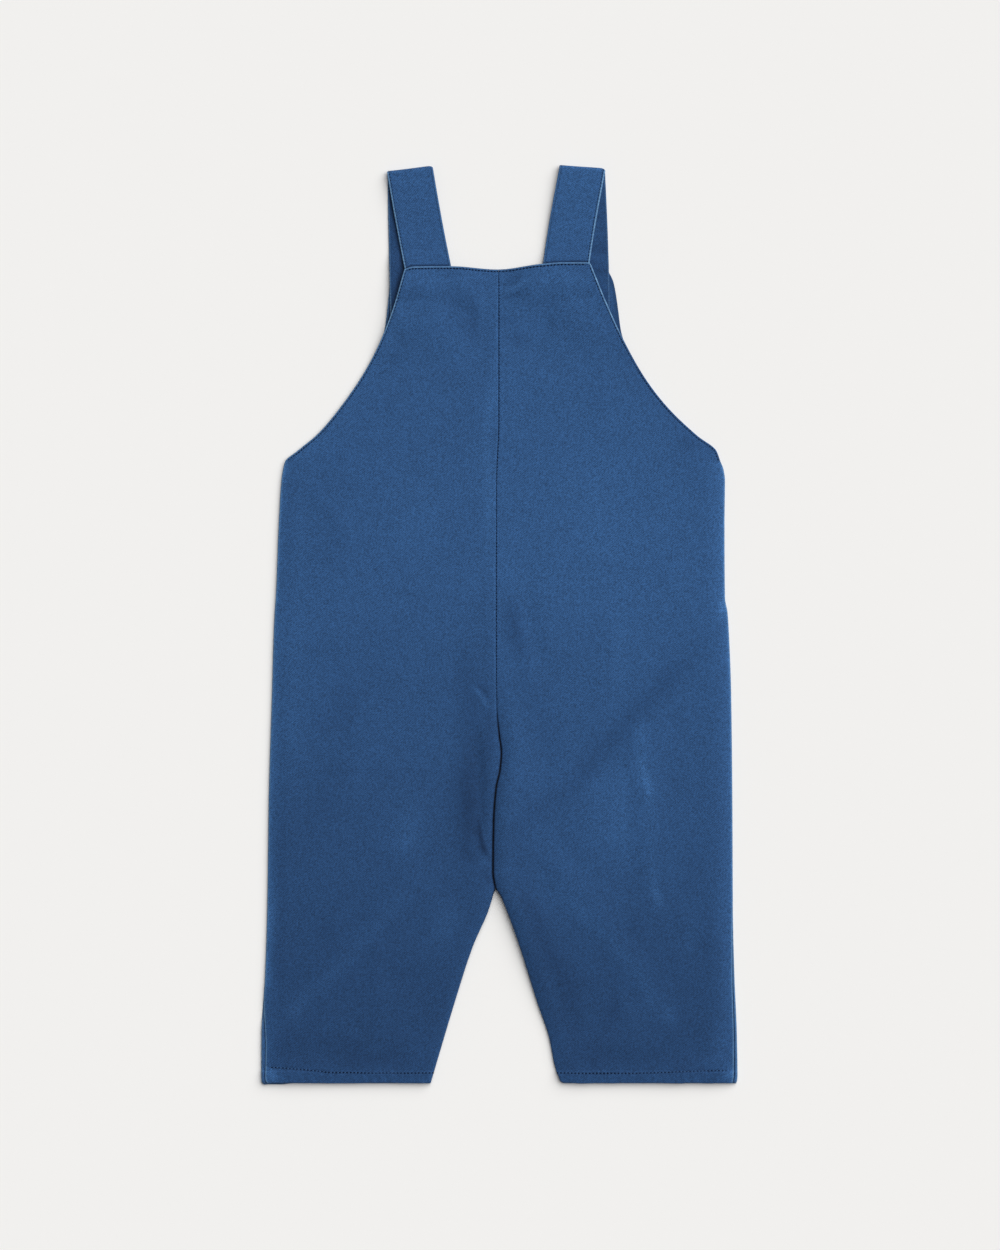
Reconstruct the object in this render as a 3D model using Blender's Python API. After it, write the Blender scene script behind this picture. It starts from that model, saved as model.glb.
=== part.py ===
# A baby's bib-and-brace overalls in cotton twill, laid flat on their front with the back up.
#
# Frame: seen from above, +X is to the right, +Y towards the shoulders and +Z up out of the
# garment's back. It lies on z = 0, with the origin under the middle of the garment.
#
# Sizes are in millimetres until a mesh is made. "up" is the distance above the hems, and
# "side" is -1 for the left half and 1 for the right half, as seen from above.

from collections import namedtuple
from math import cos, pi, radians, sin

import bmesh
import bpy
import numpy as np

METRES = 0.001
LENGTH = 597.6              # from the lowest point of the hems to the folded shoulders
HEM_BELOW = 0.7             # the front hem peeks out this far below the back one
PEEK_FROM = 110.0           # left of this the front hem comes into sight
PEEK_OVER = 30.0

WALL = 1.0                  # one layer of twill with its turnings
SEAM_GAP = 0.3              # between pieces that are sewn together
LAYER_GAP = 0.35            # between a strap and the panels that it lies between
EDGE_ROUND = 0.35           # how far a cut edge's rounded rim stands out
HEM_DEPTH = 7.6             # hem turned in and topstitched
HEM_EXTRA = 0.6             # the turned-in layer makes the wall this much thicker
RIDGE_WIDTH = 8.0           # seam allowances pressed to the left of the centre back seam
RIDGE_RISE = 0.45
LIP_FALL = 0.15             # width of the inner edge of the front's lip
LIP_SHORTEST = 1.0
LIP_EDGE = 0.75             # the lip's outer edge is this share of its height

STRAP_WIDTH = 30.0
STRAP_THICK = 1.4           # doubled cloth
STRAP_END = 489.5           # where the front stretch ends, inside the front bib
STRAP_TUCK = 523.0          # where the back stretch ends, under the back bib
STRAP_COLUMNS = 5
FOLD_AIR = 1.8              # inner height of the fold at the shoulder
FOLD_STEPS = 7
BACK_STRETCH_ROWS = 12
FREE_STRETCH_ROWS = 5       # of the front stretch, above the front bib
HIDDEN_STRETCH_ROWS = 10    # and inside it
FREE_STRETCH_TO = 545.5
HIDDEN_STRETCH_FROM = 541.5
COVER_SLACK = 0.15          # a panel bridges a strap under it a little higher than it lies
COVER_MARGIN = 4.0          # and stays at full height this far beyond the strap
COVER_FALL = 14.0           # and then comes down over this distance

BIB_TOP_FRONT = 527.5
BIB_STRETCH_FROM = 450.0    # rows above this follow the shaped top edge of the back bib

BUTTON_UP = 507.5
BUTTON_THICK = 1.7
BUTTON_PROFILE = [          # radius and height, from the middle of the face to that of the back
    (0.0, 0.5),
    (4.6, 0.5),
    (5.2, 0.0),
    (6.5, 0.0),
    (7.0, 0.5),
    (7.0, 1.2),
    (6.4, BUTTON_THICK),
    (0.0, BUTTON_THICK),
]
BUTTON_SIDES = 18
BUTTON_HOLE_RADIUS = 0.9
BUTTON_HOLE_PLACE = 1.7     # of each hole's centre, along X and along Y
BUTTON_LIFT_FLAT = 9.0      # the cloth lies level over this radius of a button
BUTTON_LIFT_REACH = 30.0

SIDE_REACH = 14.0           # width of the rounded edge along the side seams
CREASE_REACH = 11.0         # and along the crotch crease and the inseams
LIFT_REACH = 34.0           # how far the raised inner leg edges slope down

BACK_INNER_STEPS = (0.0, 2.0, RIDGE_WIDTH, RIDGE_WIDTH + 2.0)
BACK_OUTER_STEPS = (0.0, 2.0, 6.0, SIDE_REACH)
BACK_MIDDLE_COLUMNS = 4
FRONT_INNER_STEPS = (0.0, 10.0)
FRONT_MIDDLE_COLUMNS = 4

# Outer edges of the back: hem, side seam, underarm, armhole and bib
Side = namedtuple("Side", "up left right")
SIDES = [
    Side(0.0, -151.5, 154.0),
    Side(4.5, -154.9, 154.9),
    Side(31.0, -154.8, 154.5),
    Side(70.0, -152.5, 152.9),
    Side(112.0, -151.1, 151.9),
    Side(187.0, -150.0, 151.5),
    Side(255.0, -147.9, 150.7),
    Side(294.0, -146.8, 149.2),
    Side(306.0, -146.2, 148.4),
    Side(316.0, -145.5, 146.7),
    Side(363.0, -143.6, 146.4),
    Side(392.0, -141.8, 146.7),
    Side(399.0, -140.8, 145.8),
    Side(404.5, -139.4, 143.7),
    Side(411.5, -131.0, 141.0),
    Side(421.0, -119.1, 128.8),
    Side(441.0, -102.0, 108.1),
    Side(460.0, -89.1, 93.7),
    Side(480.0, -78.6, 82.2),
    Side(504.0, -69.2, 70.7),
    Side(531.0, -61.4, 59.4),
]

# Outer edges of the front where its bib is wider than the back's
FrontSide = namedtuple("FrontSide", "up left right")
FRONT_SIDES = [
    FrontSide(460.0, -88.6, 93.2),
    FrontSide(480.0, -77.9, 82.0),
    FrontSide(489.0, -74.9, 78.9),
    FrontSide(505.0, -72.7, 76.0),
    FrontSide(522.0, -71.2, 73.0),
    FrontSide(527.5, -69.6, 70.4),
]

# Inseams of the two legs, from the hems to the crotch
Inseam = namedtuple("Inseam", "up left right")
INSEAMS = [
    Inseam(0.0, -44.5, 40.2),
    Inseam(12.0, -41.0, 35.6),
    Inseam(30.0, -35.7, 31.8),
    Inseam(51.0, -29.4, 25.0),
    Inseam(90.0, -16.7, 12.6),
    Inseam(112.0, -7.1, 4.8),
    Inseam(121.0, -4.3, 1.1),
    Inseam(127.0, -2.8, -2.4),
]

# The crotch crease and the centre back seam above it
Crease = namedtuple("Crease", "up x")
CREASES = [
    Crease(127.0, -2.6),
    Crease(137.0, -4.2),
    Crease(170.0, -3.8),
    Crease(192.0, -2.2),
    Crease(204.0, 0.3),
    Crease(215.0, 1.2),
    Crease(226.0, -0.1),
    Crease(245.0, -1.8),
    Crease(300.0, -2.1),
    Crease(392.0, -1.9),
    Crease(431.0, -0.5),
    Crease(531.0, -0.5),
]

# Top edge of the back bib
BibTop = namedtuple("BibTop", "x up")
BIB_TOPS = [
    BibTop(-62.0, 528.9),
    BibTop(-56.0, 530.6),
    BibTop(-31.0, 530.9),
    BibTop(-1.0, 529.1),
    BibTop(27.0, 532.4),
    BibTop(41.0, 533.4),
    BibTop(59.0, 533.2),
]

# How far the front comes round to the back at the side seams of the lower legs
Roll = namedtuple("Roll", "up left right")
ROLLS = [
    Roll(0.0, 3.0, 2.8),
    Roll(25.0, 3.2, 2.2),
    Roll(60.0, 0.0, 1.6),
    Roll(120.0, 0.0, 0.0),
]

# Rows of points across the panels: the greatest spacing up to each height
Spacing = namedtuple("Spacing", "up most")
SPACINGS = [
    Spacing(4.0, 4.0),
    Spacing(HEM_DEPTH, 4.0),
    Spacing(HEM_DEPTH + 1.0, 1.0),
    Spacing(90.0, 17.0),
    Spacing(127.0, 8.0),
    Spacing(260.0, 14.0),
    Spacing(306.0, 24.0),
    Spacing(316.0, 10.0),
    Spacing(392.0, 26.0),
    Spacing(425.0, 5.6),
    Spacing(480.0, 11.0),
    Spacing(BIB_TOP_FRONT, 7.0),
    Spacing(531.0, 3.5),
]

# Air between the layers, and how far the back's inner edges come down to the front:
# 0 along the flat centre seam, 1 in the crotch crease and along the inseams
Loft = namedtuple("Loft", "up air dip")
LOFTS = [
    Loft(0.0, 0.9, 1.0),
    Loft(40.0, 1.8, 1.0),
    Loft(150.0, 3.0, 1.0),
    Loft(215.0, 2.8, 1.0),
    Loft(265.0, 2.5, 0.0),
    Loft(350.0, 2.3, 0.0),
    Loft(430.0, 1.6, 0.0),
    Loft(490.0, 0.6, 0.0),
    Loft(531.0, 0.1, 0.0),
]

# Height of the inner leg edges above where they would rest, highest at the crotch
Lift = namedtuple("Lift", "up front_left front_right back_left back_right")
LIFTS = [
    Lift(0.0, 0.0, 0.0, 0.0, 0.0),
    Lift(40.0, 0.0, 0.3, 0.0, 0.3),
    Lift(90.0, 0.7, 2.4, 0.7, 2.4),
    Lift(121.0, 1.0, 3.0, 1.0, 3.2),
    Lift(160.0, 0.0, 0.0, 0.5, 3.0),
    Lift(215.0, 0.0, 0.0, 0.3, 1.6),
    Lift(255.0, 0.0, 0.0, 0.0, 0.0),
]

# The largest folds of the back, each along a line from one end to the other;
# a trough has a rise below 0
Fold = namedtuple("Fold", "x_from up_from x_to up_to width rise")
FOLDS = [
    Fold(126.0, 278.0, 34.0, 184.0, 15.0, -1.3),
    Fold(96.0, 235.0, 98.0, 150.0, 16.0, 1.0),
    Fold(-68.0, 316.0, -124.0, 180.0, 22.0, -0.9),
    Fold(18.0, 330.0, 30.0, 262.0, 11.0, -1.0),
    Fold(-16.0, 228.0, -9.0, 150.0, 7.0, -1.6),
    Fold(18.0, 170.0, 112.0, 44.0, 15.0, 0.9),
    Fold(-30.0, 150.0, -132.0, 34.0, 15.0, 0.8),
    Fold(-22.0, 515.0, -15.0, 466.0, 7.0, -0.5),
    Fold(18.0, 508.0, 10.0, 474.0, 8.0, -0.5),
]

# Straps: each stretch by its centre line, the fold by its outermost line
Strap = namedtuple("Strap", "name side tuck_x fold_x fold_up fold_tilt back_tilt end_x end_tilt")
STRAPS = [
    Strap("strap_left", -1, -45.0, -58.4, 594.9, 7.0, 10.4, -55.8, 1.3),
    Strap("strap_right", 1, 42.0, 54.2, 596.0, -4.6, -9.6, 56.4, 0.6),
]
BUTTON_X = {-1: -56.2, 1: 55.9}


def clear_scene():
    for thing in list(bpy.data.objects):
        bpy.data.objects.remove(thing, do_unlink=True)


def make_material(name, colour, roughness):
    material = bpy.data.materials.new(name)
    material.use_nodes = True
    shader = material.node_tree.nodes["Principled BSDF"]
    shader.inputs["Base Color"].default_value = (*colour, 1.0)
    shader.inputs["Roughness"].default_value = roughness
    shader.inputs["Metallic"].default_value = 0.0
    return material


def soft_step(value):
    """0 at 0, 1 at 1, level at both ends."""
    held = np.clip(value, 0.0, 1.0)
    return held * held * (3.0 - 2.0 * held)


def crown(distance, reach):
    """0 at an edge, round up to 1 at the reach."""
    return 1.0 - (1.0 - np.clip(distance / reach, 0.0, 1.0)) ** 2


def read(table, column, place):
    """A smooth curve through one column of a table, by its first column, with no overshoot."""
    xs = np.array([row[0] for row in table])
    ys = np.array([getattr(row, column) for row in table])
    steps = np.diff(xs)
    rates = np.diff(ys) / steps
    slopes = np.zeros(len(xs))
    for i in range(1, len(xs) - 1):
        if rates[i - 1] * rates[i] > 0.0:
            before = 2.0 * steps[i] + steps[i - 1]
            after = steps[i] + 2.0 * steps[i - 1]
            slopes[i] = (before + after) / (before / rates[i - 1] + after / rates[i])
    slopes[0] = rates[0]
    slopes[-1] = rates[-1]
    place = np.clip(place, xs[0], xs[-1])
    i = np.clip(np.searchsorted(xs, place) - 1, 0, len(steps) - 1)
    t = (place - xs[i]) / steps[i]
    return ((1 + 2 * t) * (1 - t) ** 2 * ys[i] + t * (1 - t) ** 2 * steps[i] * slopes[i]
            + t * t * (3 - 2 * t) * ys[i + 1] - t * t * (1 - t) * steps[i] * slopes[i + 1])


def side_name(side):
    return "left" if side < 0 else "right"


def inner_edge(side, up):
    """The inseam below the crotch, the crease or centre seam above it."""
    if up < INSEAMS[-1].up:
        return read(INSEAMS, side_name(side), up)
    return read(CREASES, "x", up)


def back_outer_edge(side, up):
    return read(SIDES, side_name(side), up) - side * read(ROLLS, side_name(side), up)


def front_outer_edge(side, up):
    if up > FRONT_SIDES[0].up:
        return read(FRONT_SIDES, side_name(side), up)
    return read(SIDES, side_name(side), up)


def button_lift(x, up):
    """The front bib and all above it rise over the buttons that it lies on."""
    lift = 0.0
    for place in BUTTON_X.values():
        distance = np.hypot(x - place, up - BUTTON_UP) - BUTTON_LIFT_FLAT
        fall = soft_step(distance / (BUTTON_LIFT_REACH - BUTTON_LIFT_FLAT))
        lift = lift + (BUTTON_THICK + LAYER_GAP) * (1.0 - fall)
    return lift


def inner_lift(layer, side, x, up):
    height = read(LIFTS, layer + "_" + side_name(side), up)
    distance = abs(x - inner_edge(side, up))
    return height * (1.0 - soft_step(distance / LIFT_REACH))


def hem_extra(up):
    return HEM_EXTRA * (1.0 - soft_step(up - HEM_DEPTH))


def front_under(side, x, up):
    return button_lift(x, up) + inner_lift("front", side, x, up)


def front_over(side, x, up):
    return front_under(side, x, up) + WALL + hem_extra(up)


def strap_line(strap, stretch, up):
    """X of the centre line of a strap's back or front stretch."""
    if stretch == "back":
        share = (up - STRAP_TUCK) / (strap.fold_up - STRAP_TUCK)
        return strap.tuck_x + (strap.fold_x - strap.tuck_x) * share
    share = (up - STRAP_END) / (strap.fold_up - STRAP_END)
    return strap.end_x + (strap.fold_x - strap.end_x) * share


def strap_cover(stretch, x, up):
    """1 over a stretch of either strap and just round it, 0 well away from it."""
    cover = 0.0
    end = STRAP_TUCK if stretch == "back" else STRAP_END
    for strap in STRAPS:
        beside = abs(x - strap_line(strap, stretch, up)) - STRAP_WIDTH / 2 - COVER_MARGIN
        below = end - COVER_MARGIN - up
        over = 1.0 - soft_step(beside / COVER_FALL)
        cover = cover + over * (1.0 - soft_step(below / COVER_FALL))
    return cover


def strap_front_under(side, x, up):
    """The front stretch lies on the front bib, and past its top on the ground."""
    on_bib = 1.0 - soft_step((up - BIB_TOP_FRONT - 2.0) / COVER_FALL)
    return on_bib * (front_over(side, x, min(up, BIB_TOP_FRONT)) + LAYER_GAP)


def strap_back_under(side, x, up, fold_up):
    """The back stretch leaves the front one as it nears the fold."""
    start = BIB_TOP_FRONT + COVER_FALL
    opening = soft_step((up - start) / (fold_up - start))
    gap = LAYER_GAP + (FOLD_AIR - LAYER_GAP) * opening
    return strap_front_under(side, x, up) + STRAP_THICK + gap


def fold_rise(x, up):
    total = 0.0
    for fold in FOLDS:
        run_x = fold.x_to - fold.x_from
        run_up = fold.up_to - fold.up_from
        square = run_x ** 2 + run_up ** 2
        along = ((x - fold.x_from) * run_x + (up - fold.up_from) * run_up) / square
        across = abs((x - fold.x_from) * run_up - (up - fold.up_from) * run_x) / square ** 0.5
        ends = soft_step(along * 4 + 1) * soft_step((1 - along) * 4 + 1)
        total = total + fold.rise * ends * (1.0 - soft_step(across / fold.width))
    return total


def back_air(side, x, up):
    """Air between back and front: none at the outer edges, little in the troughs."""
    outer = abs(back_outer_edge(side, up) - x)
    inner = abs(inner_edge(side, up) - x)
    edges = crown(outer, SIDE_REACH)
    edges = edges * (1.0 - read(LOFTS, "dip", up) * (1.0 - crown(inner, CREASE_REACH)))
    air = (read(LOFTS, "air", up) + fold_rise(x, up)) * edges
    lift = inner_lift("back", side, x, up) - inner_lift("front", side, x, up)
    return max(air, 0.0) + lift


def back_under(side, x, up):
    layer = STRAP_THICK + LAYER_GAP + COVER_SLACK
    straps = layer * max(strap_cover("front", x, up), 2 * strap_cover("back", x, up))
    under_straps = front_over(side, x, min(up, BIB_TOP_FRONT)) + SEAM_GAP
    return under_straps + straps + back_air(side, x, up)


def panel_rows(top):
    """Heights of the rows, from the hem to the top."""
    rows = [0.0]
    for zone in SPACINGS:
        if zone.up <= top:
            count = int(np.ceil((zone.up - rows[-1]) / zone.most))
            rows.extend(np.linspace(rows[-1], zone.up, count + 1)[1:])
    return rows


def panel_columns(inner, outer, inner_steps, outer_steps, middle_count):
    """X of each column from the inner edge to the outer one."""
    width = abs(outer - inner)
    last = width - outer_steps[-1]
    middle = np.linspace(inner_steps[-1], last, middle_count + 2)[1:-1]
    distances = [*inner_steps, *middle, *(width - step for step in reversed(outer_steps))]
    direction = 1.0 if outer > inner else -1.0
    return [inner + direction * distance for distance in distances]


def place(x, up, z):
    return (x, up - LENGTH / 2 + HEM_BELOW, z)


def sheet_solid(name, over, under, material):
    """A closed cloth solid between two grids of points, with a rounded rim."""
    over = np.array(over)
    under = np.array(under)
    rows, columns = over.shape[:2]
    middle = (over + under) / 2
    loop = [(0, c) for c in range(columns - 1)]
    loop += [(r, columns - 1) for r in range(rows - 1)]
    loop += [(rows - 1, c) for c in range(columns - 1, 0, -1)]
    loop += [(r, 0) for r in range(rows - 1, 0, -1)]

    def outward(r, c):
        out = np.zeros(3)
        if r in (0, rows - 1):
            step = middle[r, c] - middle[1 if r == 0 else rows - 2, c]
            out += step / np.linalg.norm(step)
        if c in (0, columns - 1):
            step = middle[r, c] - middle[r, 1 if c == 0 else columns - 2]
            out += step / np.linalg.norm(step)
        return out

    mesh_builder = bmesh.new()

    def add(point):
        return mesh_builder.verts.new([float(value) * METRES for value in point])

    over_points = [[add(over[r, c]) for c in range(columns)] for r in range(rows)]
    under_points = [[add(under[r, c]) for c in range(columns)] for r in range(rows)]
    rim_points = [add(middle[r, c] + EDGE_ROUND * outward(r, c)) for r, c in loop]
    for r in range(rows - 1):
        for c in range(columns - 1):
            for grid in (over_points, under_points):
                corners = (grid[r][c], grid[r][c + 1], grid[r + 1][c + 1], grid[r + 1][c])
                mesh_builder.faces.new(corners)
    for i, (r, c) in enumerate(loop):
        next_i = (i + 1) % len(loop)
        next_r, next_c = loop[next_i]
        for grid in (over_points, under_points):
            corners = (grid[r][c], grid[next_r][next_c], rim_points[next_i], rim_points[i])
            mesh_builder.faces.new(corners)
    bmesh.ops.recalc_face_normals(mesh_builder, faces=mesh_builder.faces)
    return finish_object(name, mesh_builder, material)


def finish_object(name, mesh_builder, material):
    mesh = bpy.data.meshes.new(name)
    mesh_builder.to_mesh(mesh)
    mesh_builder.free()
    mesh.shade_smooth()
    mesh.set_sharp_from_angle(angle=radians(40.0))
    mesh.materials.append(material)
    made = bpy.data.objects.new(name, mesh)
    bpy.context.scene.collection.objects.link(made)
    return made


def make_front(side, material):
    """One half of the front, flat on the ground, with its lip round the lower side seam."""
    over = []
    under = []
    for up in panel_rows(BIB_TOP_FRONT):
        inner = inner_edge(side, up) + side * (EDGE_ROUND + SEAM_GAP / 2)
        outer = front_outer_edge(side, up) - side * EDGE_ROUND
        roll = float(read(ROLLS, side_name(side), up)) - EDGE_ROUND
        lip_end = max(roll - SEAM_GAP - LIP_FALL, LIP_SHORTEST)
        lip_rise = (SEAM_GAP + WALL + hem_extra(up)) * soft_step(roll - 1.0)
        outer_steps = (0.0, lip_end, lip_end + LIP_FALL)
        columns = panel_columns(inner, outer, FRONT_INNER_STEPS, outer_steps, FRONT_MIDDLE_COLUMNS)
        rises = [0.0] * (len(columns) - 2) + [lip_rise, lip_rise * LIP_EDGE]
        peek = HEM_BELOW * (1.0 - soft_step(up / HEM_DEPTH)) if side < 0 else 0.0
        over_row = []
        under_row = []
        for x, rise in zip(columns, rises):
            low = front_under(side, x, up)
            high = front_over(side, x, up)
            dropped = up - peek * soft_step((-x - PEEK_FROM) / PEEK_OVER)
            over_row.append(place(x, dropped, high + rise))
            under_row.append(place(x, dropped, low))
        over.append(over_row)
        under.append(under_row)
    return sheet_solid("front_" + side_name(side), over, under, material)


def make_back(side, material):
    """One half of the back, from the hem to the top of the bib, lying over all the rest."""
    over = []
    under = []
    for up in panel_rows(SIDES[-1].up):
        inner = inner_edge(side, up) + side * (EDGE_ROUND + SEAM_GAP / 2)
        outer = back_outer_edge(side, up) - side * EDGE_ROUND
        columns = panel_columns(inner, outer, BACK_INNER_STEPS, BACK_OUTER_STEPS, BACK_MIDDLE_COLUMNS)
        over_row = []
        under_row = []
        for x in columns:
            top = read(BIB_TOPS, "up", x)
            stretch = (top - BIB_STRETCH_FROM) / (SIDES[-1].up - BIB_STRETCH_FROM)
            shaped = up
            if up > BIB_STRETCH_FROM:
                shaped = BIB_STRETCH_FROM + (up - BIB_STRETCH_FROM) * stretch
            low = back_under(side, x, up)
            high = low + WALL + hem_extra(up)
            flat_seam = 1.0 - read(LOFTS, "dip", up)
            if side < 0 and 0.0 < abs(x - inner) <= RIDGE_WIDTH + 0.01:
                high = high + RIDGE_RISE * flat_seam
            over_row.append(place(x, shaped, high))
            under_row.append(place(x, shaped, low))
        over.append(over_row)
        under.append(under_row)
    return sheet_solid("back_" + side_name(side), over, under, material)


def strap_middle(strap):
    """Rows of points along a strap's middle layer: up the back stretch, over the fold and
    down the front stretch."""
    half = STRAP_WIDTH / 2 - EDGE_ROUND
    across = np.linspace(-half, half, STRAP_COLUMNS)
    low_z = STRAP_THICK / 2
    high_z = STRAP_THICK * 1.5 + FOLD_AIR
    turn = (high_z - low_z) / 2
    axis_up = strap.fold_up - turn - STRAP_THICK / 2
    rows = []
    for up in np.linspace(STRAP_TUCK, axis_up, BACK_STRETCH_ROWS):
        share = (up - STRAP_TUCK) / (axis_up - STRAP_TUCK)
        tilt = radians(strap.back_tilt + (strap.fold_tilt - strap.back_tilt) * soft_step(share))
        centre = strap_line(strap, "back", up)
        row = []
        for offset in across:
            x = centre + offset * cos(tilt)
            y = up + offset * sin(tilt)
            row.append((x, y, strap_back_under(strap.side, x, up, axis_up) + STRAP_THICK / 2))
        rows.append(row)
    tilt = radians(strap.fold_tilt)
    for step in range(1, FOLD_STEPS):
        angle = pi * step / FOLD_STEPS
        out = turn * sin(angle)
        z = (high_z + low_z) / 2 + turn * cos(angle)
        centre = strap_line(strap, "back", axis_up)
        rows.append([(centre + offset * cos(tilt) - out * sin(tilt),
                      axis_up + offset * sin(tilt) + out * cos(tilt), z) for offset in across])
    free_ups = np.linspace(axis_up, FREE_STRETCH_TO, FREE_STRETCH_ROWS)
    hidden_ups = np.linspace(HIDDEN_STRETCH_FROM, STRAP_END, HIDDEN_STRETCH_ROWS)
    for up in [*free_ups, *hidden_ups]:
        share = (axis_up - up) / (axis_up - STRAP_END)
        tilt = radians(strap.fold_tilt + (strap.end_tilt - strap.fold_tilt) * soft_step(share * 2))
        centre = strap_line(strap, "back", axis_up) * (1 - share) + strap.end_x * share
        row = []
        for offset in across:
            x = centre + offset * cos(tilt)
            y = up + offset * sin(tilt)
            row.append((x, y, strap_front_under(strap.side, x, y) + STRAP_THICK / 2))
        rows.append(row)
    return np.array(rows)


def make_strap(strap, material):
    """A strap of doubled cloth, as thick on each side of its middle layer."""
    middle = strap_middle(strap)
    along = np.gradient(middle, axis=0)
    across = np.gradient(middle, axis=1)
    normals = np.cross(across, along)
    normals /= np.linalg.norm(normals, axis=2, keepdims=True)
    over = middle + normals * STRAP_THICK / 2
    under = middle - normals * STRAP_THICK / 2
    for grid in (over, under):
        grid[:, :, 1] += HEM_BELOW - LENGTH / 2
    return sheet_solid(strap.name, over, under, material)


def make_button(side, material):
    """A flat four-hole button, turned from its profile, lying face down under the front bib."""
    mesh_builder = bmesh.new()
    rings = []
    for radius, height in BUTTON_PROFILE[1:-1]:
        ring = []
        for i in range(BUTTON_SIDES):
            angle = 2 * pi * i / BUTTON_SIDES
            point = (radius * cos(angle), radius * sin(angle), height)
            ring.append(mesh_builder.verts.new([value * METRES for value in point]))
        rings.append(ring)
    for lower, upper in zip(rings, rings[1:]):
        for i in range(BUTTON_SIDES):
            j = (i + 1) % BUTTON_SIDES
            mesh_builder.faces.new((lower[i], lower[j], upper[j], upper[i]))
    mesh_builder.faces.new(rings[0])
    mesh_builder.faces.new(rings[-1])
    bmesh.ops.recalc_face_normals(mesh_builder, faces=mesh_builder.faces)
    button = finish_object("button_" + side_name(side), mesh_builder, material)
    button.location = [value * METRES for value in place(BUTTON_X[side], BUTTON_UP, 0.0)]
    holes = make_button_holes(side)
    holes.parent = button
    cut = button.modifiers.new("thread holes", "BOOLEAN")
    cut.operation = "DIFFERENCE"
    cut.object = holes
    return button


def make_button_holes(side):
    """The four thread holes of a button, as a cutter."""
    mesh_builder = bmesh.new()
    for x in (-BUTTON_HOLE_PLACE, BUTTON_HOLE_PLACE):
        for y in (-BUTTON_HOLE_PLACE, BUTTON_HOLE_PLACE):
            made = bmesh.ops.create_cone(mesh_builder, cap_ends=True, segments=8,
                                         radius1=BUTTON_HOLE_RADIUS * METRES,
                                         radius2=BUTTON_HOLE_RADIUS * METRES,
                                         depth=BUTTON_THICK * 3 * METRES)
            offset = (x * METRES, y * METRES, 0.0)
            bmesh.ops.translate(mesh_builder, verts=made["verts"], vec=offset)
    mesh = bpy.data.meshes.new("button_holes_" + side_name(side))
    mesh_builder.to_mesh(mesh)
    mesh_builder.free()
    holes = bpy.data.objects.new(mesh.name, mesh)
    bpy.context.scene.collection.objects.link(holes)
    holes.hide_render = True
    holes.display_type = "WIRE"
    return holes


def make_overalls():
    clear_scene()
    twill = make_material("twill", (0.030, 0.083, 0.195), 0.9)
    plastic = make_material("button", (0.020, 0.035, 0.075), 0.45)
    for side in (-1, 1):
        make_front(side, twill)
        make_back(side, twill)
        make_button(side, plastic)
    for strap in STRAPS:
        make_strap(strap, twill)


make_overalls()
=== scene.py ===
from math import cos, pi, radians, sin

import bmesh
import bpy
import numpy as np
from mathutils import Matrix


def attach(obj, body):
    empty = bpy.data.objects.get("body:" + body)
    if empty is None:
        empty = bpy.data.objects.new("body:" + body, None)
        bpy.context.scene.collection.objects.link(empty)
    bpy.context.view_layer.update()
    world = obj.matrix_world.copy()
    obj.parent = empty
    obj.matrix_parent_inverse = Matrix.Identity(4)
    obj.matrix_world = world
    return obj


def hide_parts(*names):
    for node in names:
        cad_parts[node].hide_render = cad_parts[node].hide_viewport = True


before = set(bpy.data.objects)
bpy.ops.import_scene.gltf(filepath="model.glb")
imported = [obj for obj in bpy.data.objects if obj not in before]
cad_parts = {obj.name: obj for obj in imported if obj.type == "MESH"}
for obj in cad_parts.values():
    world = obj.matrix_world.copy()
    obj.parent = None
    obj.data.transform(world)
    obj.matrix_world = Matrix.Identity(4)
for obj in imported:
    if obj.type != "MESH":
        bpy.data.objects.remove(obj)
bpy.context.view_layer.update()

# A baby's bib-and-brace overalls, laid flat on their front.
# Sizes are in millimetres until a mesh is made. "up" is the height above the hems, and
# side is -1 for the left half and 1 for the right half, as the camera sees them.

mm = 0.001
garment = {
    "length": 597.6,  # hems to shoulders
    "hemBelow": 0.7,  # the front hem shows this far below the back one
    "wall": 1,  # one layer of twill
    "seamGap": 0.3,  # between pieces that are sewn together
    "layerGap": 0.35,  # between a strap and the panels round it
    "rim": 0.10,  # a cut edge stands out this far past its outline
    "rimRound": 0.55,  # radius of the rounded edges
    "hemDepth": 7.6,
    "hemExtra": 0.6,  # thicker by the turned-in layer
    "ridgeRise": 0.45,  # seam allowances pressed to the left of the centre seam
    "bibTopFront": 527.5,
    "bibTopBack": 531,
    "armholeFrom": 402,
    "crotch": 123,
    "widest": 153,  # at the hem, for the number of columns
    "bibStretchFrom": 450,  # above this the rows follow the shaped top of the back bib
    "sideReach": 14,  # width of the rounded edge along the side seams
    "creaseReach": 11,
    "liftReach": 34,
    "plainTone": 0.85,  # of the faces turned to the ground or inwards
}
backTop = garment["bibTopBack"]
middleUp = garment["length"] / 2 - garment["hemBelow"]
strapSizes = {
    "width": 30,
    "thick": 1.4,  # doubled cloth
    "end": 489.5,  # inside the front bib
    "tuck": 523,  # under the back bib
    "foldAir": 1.8,
    "coverSlack": 0.15,
    "coverMargin": 1,
    "coverFall": 26,
    "bibFall": 14,  # from the top of the front bib down to the ground
    "frontFrom": 74,  # along the strap, where it has turned over to the front
}
buttonSizes = {
    "places": {-1: -56.2, 1: 55.9},
    "up": 507.5,
    "thick": 1.7,
    "holeRadius": 0.75,
    "holePlace": 1.7,
    "liftFlat": 9,
    "liftReach": 30,
}


def table(names, rows):
    return dict(zip(names.split(), np.array(rows, dtype=float).T))


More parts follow.
